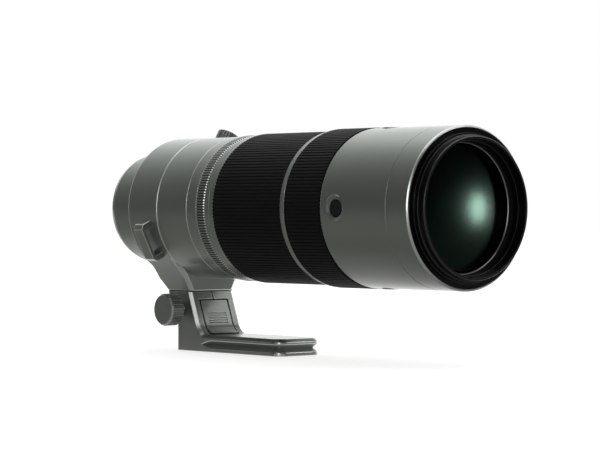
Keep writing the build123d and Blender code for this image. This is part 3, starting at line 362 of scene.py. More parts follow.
def round_corners(corners, steps=5):
    """A closed outline of radius and station with softened corners. Each corner is radius, station
    and rounding, and a quadratic curve (1-u)^2 a + 2u(1-u) p + u^2 b replaces the corner p, from a
    to b, which lie on its two sides at the rounding from it."""
    places = np.array([corner[:2] for corner in corners], float)
    sizes = np.array([corner[2] for corner in corners], float)[:, None]
    before = np.roll(places, 1, axis=0) - places
    after = np.roll(places, -1, axis=0) - places
    start = places + before / np.linalg.norm(before, axis=1)[:, None] * sizes
    end = places + after / np.linalg.norm(after, axis=1)[:, None] * sizes
    u = np.linspace(0.0, 1.0, steps + 1)[None, :, None]
    curve = ((1 - u) ** 2 * start[:, None] + 2 * u * (1 - u) * places[:, None] + u ** 2 * end[:, None])
    sharp = sizes[:, 0] == 0
    kept = np.ones(curve.shape[:2], bool)
    kept[sharp, 1:] = False
    return curve[kept]


def turned_grid(outline, angles, sunk=None):
    """Carry a closed outline round the optical axis: x = r cos t, y = -station, z = r sin t. Where
    sunk is given, it is taken from each point's radius. Returns the points and their quads."""
    radius = outline[None, :, 0] - (np.zeros((len(angles), 1)) if sunk is None else sunk)
    points = np.stack([radius * np.cos(angles)[:, None], np.broadcast_to(-outline[:, 1], radius.shape),
                       radius * np.sin(angles)[:, None]], axis=-1)
    rows, columns = radius.shape
    here = np.arange(rows * columns).reshape(rows, columns)
    right = np.roll(here, -1, axis=0)
    quads = np.stack([here, right, np.roll(right, -1, axis=1), np.roll(here, -1, axis=1)], axis=-1)
    return points.reshape(-1, 3), quads.reshape(-1, 4)


def mark_edges(mesh, marked):
    """Give each face an edge value of 1 where it is marked and 0 elsewhere."""
    edge = mesh.attributes.new("edge", "FLOAT", "FACE")
    edge.data.foreach_set("value", np.asarray(marked, np.float32))


def add_mesh(name, grids, sunk=None, plain=None):
    """One smooth mesh object from several grids of points and quads, faces turned outward. Its
    sloped faces are marked as edges, except between two plain stations, and its sunk points as
    grooves."""
    points = np.concatenate([grid[0] for grid in grids])
    starts = np.cumsum([0] + [len(grid[0]) for grid in grids[:-1]])
    quads = np.concatenate([grid[1] + start for grid, start in zip(grids, starts)])
    mesh = bpy.data.meshes.new(name)
    mesh.from_pydata(points.tolist(), [], quads.tolist())
    work = bmesh.new()
    work.from_mesh(mesh)
    bmesh.ops.recalc_face_normals(work, faces=work.faces[:])
    work.to_mesh(mesh)
    work.free()
    mesh.shade_smooth()
    slope_least, slope_most = 0.2, 0.97
    tilt = np.empty(len(mesh.polygons) * 3, np.float32)
    mesh.polygons.foreach_get("normal", tilt)
    tilt = np.abs(tilt.reshape(-1, 3)[:, 1])
    marked = (tilt > slope_least) & (tilt < slope_most)
    if plain:
        centres = np.empty(len(mesh.polygons) * 3, np.float32)
        mesh.polygons.foreach_get("center", centres)
        stations = -centres.reshape(-1, 3)[:, 1]
        marked &= (stations < plain[0]) | (stations > plain[1])
    mark_edges(mesh, marked)
    if sunk is not None:
        groove = mesh.attributes.new("groove", "FLOAT", "POINT")
        groove.data.foreach_set("value", (sunk / max(sunk.max(), tiny)).ravel().astype(np.float32))
    piece = add_object(name, mesh)
    weighted = piece.modifiers.new("even_shading", "WEIGHTED_NORMAL")
    weighted.keep_sharp = True
    return piece


def place_piece(piece, node, body, material):
    """Put a new piece on its body in place of its node, with its finish."""
    piece.data.materials.append(material)
    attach(piece, body)
    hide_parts(node)


def whole_turn(steps=turn_steps):
    """Equal angles round a whole turn."""
    return np.arange(steps) * full_turn / steps


# Silver paint: its marked edges get a lighter, metallic colour, part thin paint and part painted
# highlight.
silver_paint = finish_material("silver_paint", paint_shade, paint_colour, paint_metallic,
                               paint_roughness, paint_grain, paint_cloud, coat=paint_coat)
edge_wear_and_highlight(silver_paint, edge_wear_highlight_colour, metallic=1.0, rough=edge_roughness)
radius, rear, front = reach("rear_barrel")
collar_rear = reach("collar_ring")[1]
rear_outline = round_corners([
    (radius - rear_wall, rear, 0), (radius, rear, edge_round),
    (radius, collar_rear - edge_round - edge_chamfer, edge_chamfer / 4),
    (radius - edge_chamfer, collar_rear - edge_round, edge_chamfer / 4),
    (radius - rear_wall, collar_rear - edge_round, 0)])
rear_piece = add_mesh("rear_shell", [turned_grid(rear_outline, whole_turn())])
place_piece(rear_piece, "rear_barrel", "barrel", silver_paint)

# Mount ring: bayonet flange of chromed brass, turned bright, with its screws, seal and contacts kept
# from the frame. Its rim shows as a light edge behind the rear barrel.
mount_round = 0.00012
weld_distance = 0.000002
flat_angle = 0.3


def dress(node, material):
    """Give a CAD node that stays visible a finish."""
    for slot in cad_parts[node].material_slots:
        slot.link = "OBJECT"
        slot.material = material


def even_shading(mesh, whole, limit=46):
    """Corner normals of a rounded copy: the area-weighted mean of the faces at the corner's vertex
    that lie within the limit of its own face, and radial on a cylinder about the optical axis. The
    faces of a wholly turned piece are first swung about the axis to the corner."""
    count = len(mesh.polygons)
    totals, areas = np.empty(count, np.int32), np.empty(count, np.float32)
    normals, vertex = np.empty(count * 3, np.float32), np.empty(len(mesh.loops), np.int32)
    points, centres = np.empty(len(mesh.vertices) * 3, np.float32), np.empty(count * 3, np.float32)
    mesh.polygons.foreach_get("loop_total", totals)
    mesh.polygons.foreach_get("area", areas)
    mesh.polygons.foreach_get("normal", normals)
    mesh.polygons.foreach_get("center", centres)
    mesh.loops.foreach_get("vertex_index", vertex)
    mesh.vertices.foreach_get("co", points)
    normals, points, centres = normals.reshape(-1, 3), points.reshape(-1, 3), centres.reshape(-1, 3)
    same_radius, lengthwise_most, radial_least = 0.0001, 0.02, 0.985
    flat = np.array([1.0, 0.0, 1.0])
    radial = points[vertex] * flat
    radius = np.linalg.norm(radial, axis=1)
    radial /= np.maximum(radius, tiny)[:, None]
    centres = centres * flat
    outward = (normals * centres).sum(axis=1) / np.maximum(np.linalg.norm(centres, axis=1), tiny)

    def normal_at_corner(faces):
        if not whole:
            return normals[faces]
        return radial * outward[faces][:, None] + normals[faces] * np.array([0.0, 1.0, 0.0])

    face = np.repeat(np.arange(count), totals)
    own = normal_at_corner(face)
    order = np.argsort(vertex, kind="stable")
    rank = np.empty(len(order), int)
    rank[order] = np.arange(len(order))
    valence = np.bincount(vertex, minlength=len(points))
    first = (np.cumsum(valence) - valence)[vertex]
    valence = valence[vertex]
    mean = np.zeros_like(own)
    for turn in range(valence.max()):
        other = face[order[first + (rank - first + turn) % valence]]
        beside = normal_at_corner(other)
        near = (own * beside).sum(axis=1) > math.cos(math.radians(limit))
        mean += beside * (areas[other] * (near & (turn < valence)))[:, None]
    starts = np.cumsum(totals) - totals
    uneven = np.maximum.reduceat(radius, starts) - np.minimum.reduceat(radius, starts)
    facing = (own * radial).sum(axis=1)
    turned = (uneven < same_radius)[face] & (np.abs(own[:, 1]) < lengthwise_most)
    turned &= np.abs(facing) > radial_least
    mean[turned] = (radial * np.sign(facing)[:, None])[turned]
    mesh.normals_split_custom_set(mean / np.maximum(np.linalg.norm(mean, axis=1), tiny * tiny)[:, None])


def soft_copy(name, node, body, material, width, segments=3, limit=28, shrink=None,
              whole=False):
    """A copy of a CAD node with doubled points merged, flat faces joined and its outer edges rounded,
    where they turn by more than the limit. Shrink takes a margin s off both sides along each axis,
    p = m + (p - m)(1 - 2 s / size) about the middle m of its box, which opens the gaps round it."""
    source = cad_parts[node]
    mesh = source.data.copy()
    mesh.transform(source.matrix_world)
    work = bmesh.new()
    work.from_mesh(mesh)
    bmesh.ops.remove_doubles(work, verts=work.verts[:], dist=weld_distance)
    bmesh.ops.dissolve_limit(work, angle_limit=math.radians(flat_angle), verts=work.verts[:],
                             edges=work.edges[:])
    bmesh.ops.recalc_face_normals(work, faces=work.faces[:])
    if shrink:
        low, high = (Vector(corner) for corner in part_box(node))
        middle = Matrix.Translation((low + high) / 2)
        shares = Matrix.Diagonal([1 - 2 * margin / size for margin, size in zip(shrink, high - low)])
        bmesh.ops.transform(work, matrix=middle @ shares.to_4x4() @ middle.inverted(),
                            verts=work.verts[:])
    weight = work.edges.layers.float.new("bevel_weight_edge")
    for edge in work.edges:
        if edge.is_manifold and edge.is_convex and edge.calc_face_angle() > math.radians(limit):
            edge[weight] = 1.0
    work.to_mesh(mesh)
    work.free()
    mesh.materials.clear()
    mesh.materials.append(material)
    mesh.materials.append(material)
    mesh.shade_smooth()
    piece = add_object(name, mesh)
    bevel = piece.modifiers.new("edge_round", "BEVEL")
    bevel.limit_method = "WEIGHT"
    bevel.width = width
    bevel.segments = segments
    bevel.material = 1
    bevel.use_clamp_overlap = False
    depsgraph = bpy.context.evaluated_depsgraph_get()
    rounded = bpy.data.meshes.new_from_object(piece.evaluated_get(depsgraph))
    piece.modifiers.clear()
    piece.data = rounded
    marks = np.empty(len(rounded.polygons), np.int32)
    rounded.polygons.foreach_get("material_index", marks)
    mark_edges(rounded, marks == 1)
    rounded.polygons.foreach_set("material_index", np.zeros(len(marks), np.int32))
    rounded.materials.clear()
    even_shading(rounded, whole)
    place_piece(piece, node, body, material)
    return piece


chrome = finish_material("chrome", (0.80, 0.80, 0.78, 1.0), (0.88, 0.88, 0.86, 1.0), metallic=1.0,
                         rough=0.16, grain=2400.0, cloud=30.0, bump=0.000004, bump_strength=0.2)
steel = finish_material("steel", (0.42, 0.42, 0.43, 1.0), (0.58, 0.58, 0.58, 1.0), metallic=1.0,
                        rough=0.28, grain=1800.0, cloud=60.0, bump=0.000006, bump_strength=0.3)
contact_gold = finish_material("gold_contacts", (0.80, 0.56, 0.22, 1.0), (0.92, 0.70, 0.34, 1.0),
                               metallic=1.0, rough=0.22, grain=1800.0, cloud=90.0, bump=0.000004,
                               bump_strength=0.2)
seal_rubber = finish_material("seal_rubber", (0.010, 0.010, 0.011, 1.0), (0.022, 0.022, 0.023, 1.0),
                              metallic=0.0, rough=0.6, grain=3000.0, cloud=90.0, bump_strength=0.3)
moulding = finish_material("black_plastic", (0.005, 0.0055, 0.0055, 1.0),
                           (0.009, 0.0095, 0.0095, 1.0), metallic=0.0, rough=0.46, grain=3800.0,
                           cloud=60.0, bump_strength=0.3, specular=0.25)
soft_copy("mount_flange", "mount_ring", "barrel", chrome, mount_round, whole=True)
dress("mount_screws", steel)
dress("mount_seal", seal_rubber)
dress("rear_baffle", moulding)
dress("contact_block", moulding)
dress("contact_pins", contact_gold)

# Tripod collar: one thick aluminium casting with clamp seat, strap bridges and pedestal, painted like
# the barrel. Its upright chamfers get a painted highlight. Its lock knob is turned and fluted.
collar_round = 0.0005
knob_round = 0.00025
chamfer_turn = 0.3
chamfer_lean = 0.62
chamfer_highlight = 0.8


def paint_chamfer_highlights(piece):
    """Painted highlight: mark a casting's upright chamfers, faces turned both sideways and forward,
    with the lighter edge colour.
    """
    slope = np.empty(len(piece.data.polygons) * 3, np.float32)
    piece.data.polygons.foreach_get("normal", slope)
    slope = np.abs(slope.reshape(-1, 3))
    marks = np.empty(len(slope), np.float32)
    values = piece.data.attributes["edge"].data
    values.foreach_get("value", marks)
    upright = slope[:, 2] < chamfer_lean
    marks[(slope[:, 0] > chamfer_turn) & (slope[:, 1] > chamfer_turn) & upright] = chamfer_highlight
    values.foreach_set("value", marks)


collar_piece = soft_copy("collar_casting", "collar_ring", "collar", silver_paint,
                         collar_round)
paint_chamfer_highlights(collar_piece)
soft_copy("collar_knob", "collar_lock_knob", "collar_lock", silver_paint, knob_round,
          segments=2)

# Foot: cast aluminium arm and plate, edges rounded by the mould and polished before painting, with
# its release panel and large clamp knob. Its upright chamfers get a painted highlight. The dark seam
# above it is painted shade: a thin black pad on its seat that stays clear of the collar's shoe. The
# shade in the panel's pocket is painted too, by a black liner.
foot_round = 0.0004
panel_round = 0.00025
panel_gap = 0.0008
shade_liner_sink = 0.0002
pad_margin = 0.0004
pad_clearance = 0.0004
pad_thickness = 0.00045
foot_piece = soft_copy("foot_casting", "foot", "foot_block", silver_paint, foot_round,
                       segments=4)
paint_chamfer_highlights(foot_piece)
soft_copy("release_panel", "release_button", "foot_release", silver_paint, panel_round,
          segments=2, shrink=(panel_gap, 0.0, panel_gap / 2))
soft_copy("clamp_knob", "foot_knob", "foot_clamp", silver_paint, knob_round,
          segments=2)
dress("foot_screw", steel)


def flat_box(low, high):
    """A box between two corners: its eight points and six quads."""
    points = np.array([(x, y, z) for x in (low[0], high[0]) for y in (low[1], high[1])
                       for z in (low[2], high[2])])
    quads = np.array([(0, 1, 3, 2), (4, 6, 7, 5), (0, 4, 5, 1), (2, 3, 7, 6), (0, 2, 6, 4),
                      (1, 5, 7, 3)])
    return points, quads


def node_points(node):
    """The corner points of a CAD node in the part's frame."""
    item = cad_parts[node]
    points = np.empty(len(item.data.vertices) * 3, np.float32)
    item.data.vertices.foreach_get("co", points)
    world = np.array(item.matrix_world)
    return points.reshape(-1, 3) @ world[:3, :3].T + world[:3, 3]


def level_box(node, level):
    """The least and greatest x and y of a CAD node's corners at one level, to a tenth of a
    millimetre."""
    level_tolerance = 0.0001
    corners = node_points(node)
    corners = corners[np.abs(corners[:, 2] - level) < level_tolerance]
    return corners[:, :2].min(axis=0), corners[:, :2].max(axis=0)


foot_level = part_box("foot")[1][2]
seat_low, seat_high = level_box("foot", foot_level)
shoe_low, shoe_high = level_box("collar_ring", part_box("collar_ring")[0][2])
pad_low, pad_high = seat_low + pad_margin, seat_high - pad_margin
pad_top = foot_level + pad_thickness
# Painted shade: a thin black pad in the seam between foot and collar.
shade_pad_piece = add_mesh("seam_pad", [
    flat_box((*pad_low, foot_level), (shoe_low[0] - pad_clearance, pad_high[1], pad_top)),
    flat_box((shoe_high[0] + pad_clearance, pad_low[1], foot_level), (*pad_high, pad_top)),
    flat_box((shoe_low[0] - pad_clearance, pad_low[1], foot_level),
             (shoe_high[0] + pad_clearance, shoe_low[1] - pad_clearance, pad_top))])
shade_pad_piece.modifiers.clear()
shade_pad_piece.data.shade_flat()
shade_pad_piece.data.materials.append(moulding)
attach(shade_pad_piece, "foot_block")
# Painted shade: a black copy of the release panel, set just behind it in its pocket.
panel_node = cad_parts["release_button"]
shade_liner_mesh = panel_node.data.copy()
shade_liner_mesh.transform(panel_node.matrix_world)
shade_liner_mesh.transform(Matrix.Translation((0.0, shade_liner_sink, 0.0)))
shade_liner_mesh.materials.clear()
shade_liner_mesh.materials.append(moulding)
shade_liner_piece = add_object("panel_liner", shade_liner_mesh)
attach(shade_liner_piece, "foot_release")

# Switch barrel: fixed shell in front of the collar, turned from aluminium and painted. On its far
# side it holds a moulded black panel with three slide switches.
switch_round = 0.0005
slider_round = 0.0003
soft_copy("switch_shell", "switch_barrel", "barrel", silver_paint, switch_round,
          segments=2)
soft_copy("switch_plate", "switch_panel", "barrel", moulding, switch_round / 2,
          segments=2)
for switch in ("focus_mode_switch", "focus_limit_switch", "stabiliser_switch"):
    soft_copy(switch + "_cap", switch, switch + "_slider", moulding, slider_round)

# Aperture ring: painted aluminium ring with a smooth rear half, then fine milled ribs whose grooves
# have round ends, and a plain front lip. The grooves' floors are darkened as painted shade.
rib_count = 172
rib_groove_share = 0.5
rib_groove_depth = 0.0007
rib_round = 0.00015
painted_groove_shade = (0.02, 0.021, 0.02, 1.0)
rib_steps = 12
rib_rear_length = 0.0104
rib_front_length = 0.0012
rib_end_length = 0.0007
rib_shoulder = 0.0006
rib_end_steps = 7
rib_steps_along = 4
ring_round = 0.00025
ring_clearance = 0.0003
ring_rise = 0.0002
past_end = 0.001


def groove_depths(angles, outline, count, share, floor_radius, rear, front, end):
    """How far each point of a ribbed ring is sunk: (r - floor) * w(angle) * e(station), and nothing
    below the floor radius. w rises and falls by a cosine over a fifth of a groove, and e does so
    over the end length inside rear and front."""
    phase = (angles * count / full_turn) % 1.0
    half = share / 2
    side = share / 5
    w = 0.5 - 0.5 * np.cos(np.pi * np.clip((half - np.abs(phase - 0.5)) / side, 0, 1))
    place = np.minimum(outline[:, 1] - rear, front - outline[:, 1])
    e = 0.5 - 0.5 * np.cos(np.pi * np.clip(place / end, 0, 1))
    return w[:, None] * (e * np.clip(outline[:, 0] - floor_radius, 0, None))[None, :]


def paint_groove_shade(material, dark):
    """Painted shade: darken a finish toward the floor of its grooves, by the piece's groove
    attribute.
    """
    nodes, links = material.node_tree.nodes, material.node_tree.links
    shader = nodes["Principled BSDF"]
    colour = shader.inputs["Base Color"].links[0].from_socket
    mark = nodes.new("ShaderNodeAttribute")
    mark.attribute_name = "groove"
    blend = nodes.new("ShaderNodeMix")
    blend.data_type = "RGBA"
    blend.inputs[7].default_value = dark
    links.new(mark.outputs["Fac"], blend.inputs["Factor"])
    links.new(colour, blend.inputs[6])
    links.new(blend.outputs[2], shader.inputs["Base Color"])


body_radius = reach("switch_barrel")[0]
ring_bore = reach("main_tube")[0] + ring_clearance
radius, rear, front = reach("aperture_ring")
ribs_rear = rear + rib_rear_length
ribs_front = front - rib_front_length
lip_radius = radius - rib_groove_depth
rear_radius = body_radius + ring_rise
ribs_full = ribs_rear + rib_end_length
ribs_last = ribs_front - rib_groove_depth - rib_round
stations = np.concatenate([np.linspace(ribs_rear, ribs_full, rib_end_steps),
                           np.linspace(ribs_full, ribs_last, rib_steps_along)[1:-1]])
rear_part = round_corners([
    (ring_bore, rear, 0), (rear_radius, rear, ring_round),
    (rear_radius, ribs_rear - rib_shoulder, ring_round),
    (radius, ribs_rear - rib_shoulder / 2, ring_round),
    (radius, ribs_rear, 0), (ring_bore, ribs_rear, 0)])[:-2]
ribs_part = np.column_stack([np.full(len(stations), radius), stations])
front_part = round_corners([(ring_bore, ribs_front, 0), (radius, ribs_rear, 0),
                            (radius, ribs_front - rib_groove_depth, rib_round),
                            (lip_radius, ribs_front, rib_round), (lip_radius, front, ring_round),
                            (ring_bore, front, 0)])[2:]
aperture_outline = np.concatenate([rear_part, ribs_part, front_part])
angles = whole_turn(rib_count * rib_steps)
sunk = groove_depths(angles, aperture_outline, rib_count, rib_groove_share, lip_radius, ribs_rear,
                     front + past_end, rib_end_length)
aperture_piece = add_mesh("aperture_dial", [turned_grid(aperture_outline, angles, sunk)], sunk)
# Ribbed paint: the silver paint with painted shade in its grooves, and its edges lighter, part thin
# paint and part painted highlight.
ribbed_paint = finish_material("ribbed_paint", paint_shade, paint_colour, paint_metallic,
                               paint_roughness, paint_grain, paint_cloud, coat=paint_coat)
edge_wear_and_highlight(ribbed_paint, edge_wear_highlight_colour, metallic=1.0, rough=edge_roughness)
paint_groove_shade(ribbed_paint, painted_groove_shade)
place_piece(aperture_piece, "aperture_ring", "aperture_control", ribbed_paint)

# Index band: narrow fixed band of painted aluminium, with one fine turned line that the rings are
# read against.
line_depth = 0.0003
line_rear_length = 0.0034
line_width = 0.0005
line_round = 0.00008
fixed_clearance = 0.00005
radius, rear, front = reach("index_band")
line_rear = rear + line_rear_length
fixed_bore = reach("main_tube")[0] + fixed_clearance
band_outline = round_corners([
    (fixed_bore, rear, 0), (radius, rear, ring_round), (radius, line_rear, line_round),
    (radius - line_depth, line_rear, line_round),
    (radius - line_depth, line_rear + line_width, line_round),
    (radius, line_rear + line_width, line_round), (radius, front, ring_round), (fixed_bore, front, 0)])
band_piece = add_mesh("index_collar", [turned_grid(band_outline, whole_turn())])
place_piece(band_piece, "index_band", "barrel", silver_paint)

# Zoom grip: moulded black rubber sleeve with straight ribs all round, with a matt finish.
zoom_rib_count = 135
grip_steps = 14
grip_share = 0.38
grip_depth = 0.00045
grip_round = 0.0005
grip_wall = 0.0019
grip_end_length = 0.0005
rubber_deep, rubber_worn = (0.0026, 0.0028, 0.0032, 1.0), (0.0042, 0.0045, 0.0050, 1.0)
grip_rubber = finish_material("grip_rubber", rubber_deep, rubber_worn, metallic=0.0, rough=0.58,
                              grain=4200.0, cloud=45.0, bump=0.00003, bump_strength=0.35,
                              specular=0.15)


def add_grip(name, node, body, count):
    """A ribbed rubber sleeve: the outline turned with its grooves sunk by groove_depths."""
    radius, rear, front = reach(node)
    outline = round_corners([(radius - grip_wall, rear, 0), (radius, rear, grip_round),
                             (radius, front, grip_round), (radius - grip_wall, front, 0)])
    angles = whole_turn(count * grip_steps)
    sunk = groove_depths(angles, outline, count, grip_share, radius - grip_depth, rear - past_end,
                         front + past_end, grip_end_length)
    piece = add_mesh(name, [turned_grid(outline, angles, sunk)], sunk)
    place_piece(piece, node, body, grip_rubber)


add_grip("zoom_rubber", "zoom_grip", "zoom_ring", zoom_rib_count)

# Divider: fixed step between the two grips, turned and painted like the barrel. Paint is thin on its
# two edges, which shine, and their lighter colour is partly a painted highlight.
divider_edge = 0.0006
radius, rear, front = reach("divider_ring")
middle = (rear + front) / 2
divider_outline = round_corners([
    (fixed_bore, rear, 0), (radius - divider_edge, rear, ring_round / 2),
    (radius - divider_edge, middle, ring_round / 2), (radius, middle + divider_edge, ring_round / 2),
    (radius, front, ring_round), (fixed_bore, front, 0)])
divider_piece = add_mesh("divider_band", [turned_grid(divider_outline, whole_turn())])
place_piece(divider_piece, "divider_ring", "barrel", silver_paint)

# Focus grip: the same moulded rubber as the zoom grip, on a narrower ring of slightly larger
# diameter, free to turn.
focus_rib_count = 138
add_grip("focus_rubber", "focus_grip", "focus_ring", focus_rib_count)

# Front barrel: wide painted aluminium shell with a dished well for each of four buttons, a fine
# turned line near the front and a bright chamfer on the rim, whose lighter colour is partly a painted
# highlight.
shell_wall = 0.0028
rear_slope_length = 0.0010
rear_slope_depth = 0.00035
rim_chamfer = 0.0010
seam_front_length = 0.0185
counterbore_depth = 0.0027
counterbore_width = 0.0014
step_station_length = 0.0043
well_radius = 0.0078
well_floor_radius = 0.0058
well_depth = 0.0013
hole_radius = 0.0055
patch_half = 0.0086
patch_steps = 16
plain_steps = 56
well_count = 4
well_round = 0.0004
# Radius and depth down the dish, from the skin over its rim and wall to its floor and the hole.
well_profile = ((well_radius + well_round / 3, 0.00001), (well_radius - well_round / 3, 0.00007),
                (well_radius - well_round, 0.00024), (well_floor_radius + 0.0004, well_depth - 0.00025),
                (well_floor_radius + 0.0001, well_depth - 0.00007),
                (well_floor_radius - 0.0001, well_depth), (hole_radius + 0.00005, well_depth + 0.00002),
                (hole_radius, well_depth + 0.0001))


def well_patch(centre_angle, station, outer, inner, half_angle, low, high):
    """The skin round one button hole, between a square of the outer skin and a square of the inner
    one. With b on the square's border and c on the unit circle, its rows run through
    b (1-u) + c r u on the skin, then c r at each radius r and depth of the dish's profile, and back
    out to b on the inner skin. Returns points and quads in rows round the hole."""
    side = np.linspace(-1.0, 1.0, patch_steps + 1)[:-1]
    border = np.concatenate([np.column_stack([side, -np.ones(patch_steps)]),
                             np.column_stack([np.ones(patch_steps), side]),
                             np.column_stack([-side, np.ones(patch_steps)]),
                             np.column_stack([-np.ones(patch_steps), -side])])
    flat = border * np.array([half_angle * outer, (high - low) / 2])
    turn = np.arctan2(flat[:, 1], flat[:, 0])
    circle = np.column_stack([np.cos(turn), np.sin(turn)])
    rows = []
    for share in (0.0, 0.25, 0.5, 0.75, 1.0):
        ring = flat * (1 - share) + circle * (well_radius + well_round) * share
        rows.append((ring, outer))
    for ring_radius, depth in (*well_profile, (hole_radius, outer - inner)):
        rows.append((circle * ring_radius, outer - depth))
    for share in (0.25, 0.5, 0.75, 1.0):
        rows.append((circle * hole_radius * (1 - share) + flat * share, inner))
    points = []
    base = np.array([math.cos(centre_angle), 0.0, math.sin(centre_angle)])
    sideways = np.array([-math.sin(centre_angle), 0.0, math.cos(centre_angle)])
    forward = np.array([0.0, -1.0, 0.0])
    for ring, radius in rows:
        if radius in (outer, inner):
            angle = centre_angle + ring[:, 0] / outer
            points.append(np.column_stack([radius * np.cos(angle), -(station + ring[:, 1]),
                                           radius * np.sin(angle)]))
        else:
            points.append(base * radius + sideways * ring[:, :1] + forward * (station + ring[:, 1:]))
    count = 4 * patch_steps
    here = np.arange(len(points) * count).reshape(len(points), count)
    right = np.roll(here, -1, axis=1)
    quads = np.stack([here[:-1], right[:-1], right[1:], here[1:]], axis=-1)
    return np.concatenate(points), quads.reshape(-1, 4)


radius, rear, front = reach("front_barrel")
inner = radius - shell_wall
button_low, button_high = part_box("focus_button_1")
well_station = -(button_low[1] + button_high[1]) / 2
seam_front = front - seam_front_length
patch_low, patch_high = well_station - patch_half, well_station + patch_half
half_angle = patch_half / radius
patch_line = np.linspace(patch_low, patch_high, patch_steps + 1)
outer_part = round_corners([
    (fixed_bore, rear, 0), (radius - rear_slope_depth, rear, line_round),
    (radius, rear + rear_slope_length, line_round), (radius, patch_low, 0),
    (fixed_bore, patch_low, 0)])[:-2]
outer_skin = np.column_stack([np.full(patch_steps + 1, radius), patch_line])
front_outline = round_corners([
    (inner, patch_high, 0), (radius, patch_high, 0), (radius, seam_front - line_width, line_round),
    (radius - line_depth, seam_front - line_width, line_round),
    (radius - line_depth, seam_front, line_round), (radius, seam_front, line_round),
    (radius, front - rim_chamfer, rim_chamfer / 3), (radius - rim_chamfer, front, rim_chamfer / 3),
    (inner + counterbore_width, front, line_round),
    (inner + counterbore_width, front - counterbore_depth, 0),
    (inner, front - counterbore_depth, 0)])[2:]
inner_skin = np.column_stack([np.full(patch_steps + 1, inner), patch_line[::-1]])
step = np.array([(inner, rear + step_station_length), (fixed_bore, rear + step_station_length)])
shell_outline = np.concatenate([outer_part, outer_skin, front_outline, inner_skin, step])
outer_first = len(outer_part)
inner_first = len(outer_part) + len(outer_skin) + len(front_outline)
well_angles = np.arange(well_count) * full_turn / well_count
plain_turn = full_turn / well_count - 2 * half_angle
angles = np.concatenate([np.concatenate([
    centre + np.linspace(-half_angle, half_angle, patch_steps + 1)[:-1],
    centre + half_angle + np.arange(plain_steps) * plain_turn / plain_steps]) for centre in well_angles])
shell_points, shell_quads = turned_grid(shell_outline, angles)
columns = len(shell_outline)
row = np.arange(len(shell_quads)) // columns
column = np.arange(len(shell_quads)) % columns
in_well = (row % (patch_steps + plain_steps)) < patch_steps
in_outer = (column >= outer_first) & (column < outer_first + patch_steps)
in_inner = (column >= inner_first) & (column < inner_first + patch_steps)
shell_quads = shell_quads[~(in_well & (in_outer | in_inner))]
grids = [(shell_points, shell_quads)]
for centre in well_angles:
    grids.append(well_patch(centre, well_station, radius, inner, half_angle, patch_low, patch_high))
shell_piece = add_mesh("front_shell", grids, plain=(patch_low, patch_high))
place_piece(shell_piece, "front_barrel", "barrel", silver_paint)
for index in range(well_count):
    node = f"focus_button_{index + 1}"
    soft_copy(node + "_cap", node, f"focus_hold_{index + 1}", moulding, slider_round)

# Nose: black anodised filter ring with hood ridges outside and a fine filter thread inside, and the
# blackened cell of the front glass behind it.
nose_round = 0.00012
black_deep, black_worn = (0.0026, 0.0028, 0.0032, 1.0), (0.0044, 0.0046, 0.0052, 1.0)
anodised = finish_material("black_anodised", black_deep, black_worn, metallic=0.0, rough=0.30,
                           grain=2600.0, cloud=60.0, bump=0.00001, bump_strength=0.3, specular=0.3)
# The anodised ring's marked edges get a lighter grey: painted highlight.
edge_wear_and_highlight(anodised, (0.14, 0.15, 0.15, 1.0), metallic=0.9, rough=0.28)
cell_black = finish_material("cell_black", (0.0030, 0.0032, 0.0034, 1.0),
                             (0.0060, 0.0062, 0.0066, 1.0), metallic=0.0, rough=0.55, grain=3000.0,
                             cloud=60.0, bump=0.00001, bump_strength=0.3)
soft_copy("filter_nose", "filter_ring", "barrel", anodised, nose_round,
          segments=2, whole=True)
dress("front_cell", cell_black)

# Glass: ground and polished elements with a green anti-reflection coating on the front one, dark
# inside. The glasses behind it are seen through it, and a thin retaining ring holds its edge.
coat_cloud = 40.0
coat_spread = 0.02
lip_widening = 0.0016
lip_round = 0.0001
lip_chamfer = 0.0005
glass_lip_depth = 0.0004
glass_clearance = 0.0001
glass_bulge = 0.0022
glass_edge_share = 0.7
glass_pole = 0.00004
glass_pole_ring = 0.0001
dome_steps = 24


def glass_material(name, colour, coat, clear, rough, specular, index):
    """Coated glass: a clear body with a tinted gloss whose strength a soft cloud varies a little."""
    material, nodes, links, shader = new_material(name)
    shader.inputs["Base Color"].default_value = colour
    shader.inputs["Transmission Weight"].default_value = clear
    shader.inputs["IOR"].default_value = index
    shader.inputs["Specular IOR Level"].default_value = specular
    shader.inputs["Specular Tint"].default_value = coat
    links.new(spread(nodes, links, noise(nodes, links, coat_cloud), rough, rough + coat_spread),
              shader.inputs["Roughness"])
    return material


front_glass = glass_material("front_glass", (0.003, 0.008, 0.006, 1.0), coat=(0.40, 1.0, 0.70, 1.0),
                             clear=0.9, rough=0.15, specular=0.5, index=1.22)
inner_glass = glass_material("inner_glass", (0.012, 0.030, 0.023, 1.0), coat=(0.3, 1.0, 0.7, 1.0),
                             clear=0.5, rough=0.12, specular=0.3, index=1.5)


def bore_of(node):
    """The least radius of a round CAD node about the optical axis."""
    points = node_points(node)
    return np.hypot(points[:, 0], points[:, 2]).min()


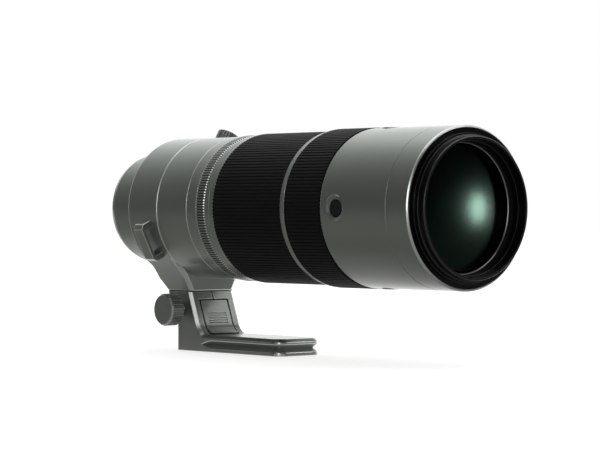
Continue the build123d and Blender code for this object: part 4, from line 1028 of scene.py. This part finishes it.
ring_black = finish_material("ring_black", black_deep, black_worn, metallic=0.0, rough=0.30,
                             grain=2600.0, cloud=60.0, bump=0.00001, bump_strength=0.3, specular=0.3)
# The retainer's chamfers get a lighter grey: a painted highlight for the bright ring round the glass.
edge_wear_and_highlight(ring_black, (0.30, 0.32, 0.32, 1.0), metallic=1.0, rough=0.30)
lip_bore = bore_of("front_retainer") + lip_widening
radius, rear, front = reach("front_retainer")
retainer_outline = round_corners([
    (lip_bore, rear, 0), (radius, rear, lip_round), (radius, front, lip_round),
    (lip_bore + lip_chamfer, front, lip_round), (lip_bore, front - lip_chamfer, lip_round)])
retainer_piece = add_mesh("glass_retainer", [turned_grid(retainer_outline, whole_turn())])
place_piece(retainer_piece, "front_retainer", "barrel", ring_black)
retainer_front = front
# The dome rises by glass_bulge (1 - u^2) from the ring, where u is the share of its radius.
radius, rear, front = reach("front_element")
dome_radius = lip_bore - glass_clearance
glass_edge = retainer_front - lip_chamfer - glass_lip_depth
glass_top = glass_edge + glass_bulge
shoulder = retainer_front - (retainer_front - rear) * glass_edge_share
share = np.linspace(1.0, 0.0, dome_steps + 1)[:-1]
dome = np.column_stack([dome_radius * share, glass_edge + glass_bulge * (1 - share ** 2)])
glass_outline = np.concatenate([[(radius, rear), (radius, shoulder), (dome_radius, shoulder)], dome,
                                [(glass_pole_ring, glass_top), (glass_pole, glass_top),
                                 (glass_pole, rear)]])
glass_piece = add_mesh("front_lens", [turned_grid(glass_outline, whole_turn())])
place_piece(glass_piece, "front_element", "barrel", front_glass)
glass_only.objects.link(glass_piece)
for node in ("doublet_element", "variator_element", "compensator_element", "focus_element",
             "rear_element"):
    dress(node, inner_glass)

# Inner works: turned aluminium tubes, blackened cells, iris leaves, steel pins and rods and a green
# circuit board, which show only where a ring or glass lets the eye in.
iris_leaves = 7
tube_metal = finish_material("turned_aluminium", (0.24, 0.24, 0.25, 1.0), (0.36, 0.36, 0.37, 1.0),
                             metallic=1.0, rough=0.38, grain=2200.0, cloud=40.0, bump=0.000008,
                             bump_strength=0.3)
board_green = finish_material("board_green", (0.010, 0.055, 0.022, 1.0), (0.018, 0.085, 0.035, 1.0),
                              metallic=0.0, rough=0.45, grain=1500.0, cloud=120.0, bump_strength=0.3)
for node in ("main_tube", "guide_tube", "zoom_sleeve", "focus_sleeve"):
    dress(node, tube_metal)
for node in ("focus_rods", "zoom_key", "variator_pins", "compensator_pins"):
    dress(node, steel)
for node in ("doublet_cell", "iris_housing", "iris_drive_ring", "variator_cell", "compensator_cell",
             "focus_cell", "cam_barrel", *(f"iris_leaf_{index + 1}" for index in range(iris_leaves))):
    dress(node, cell_black)
dress("circuit_board", board_green)
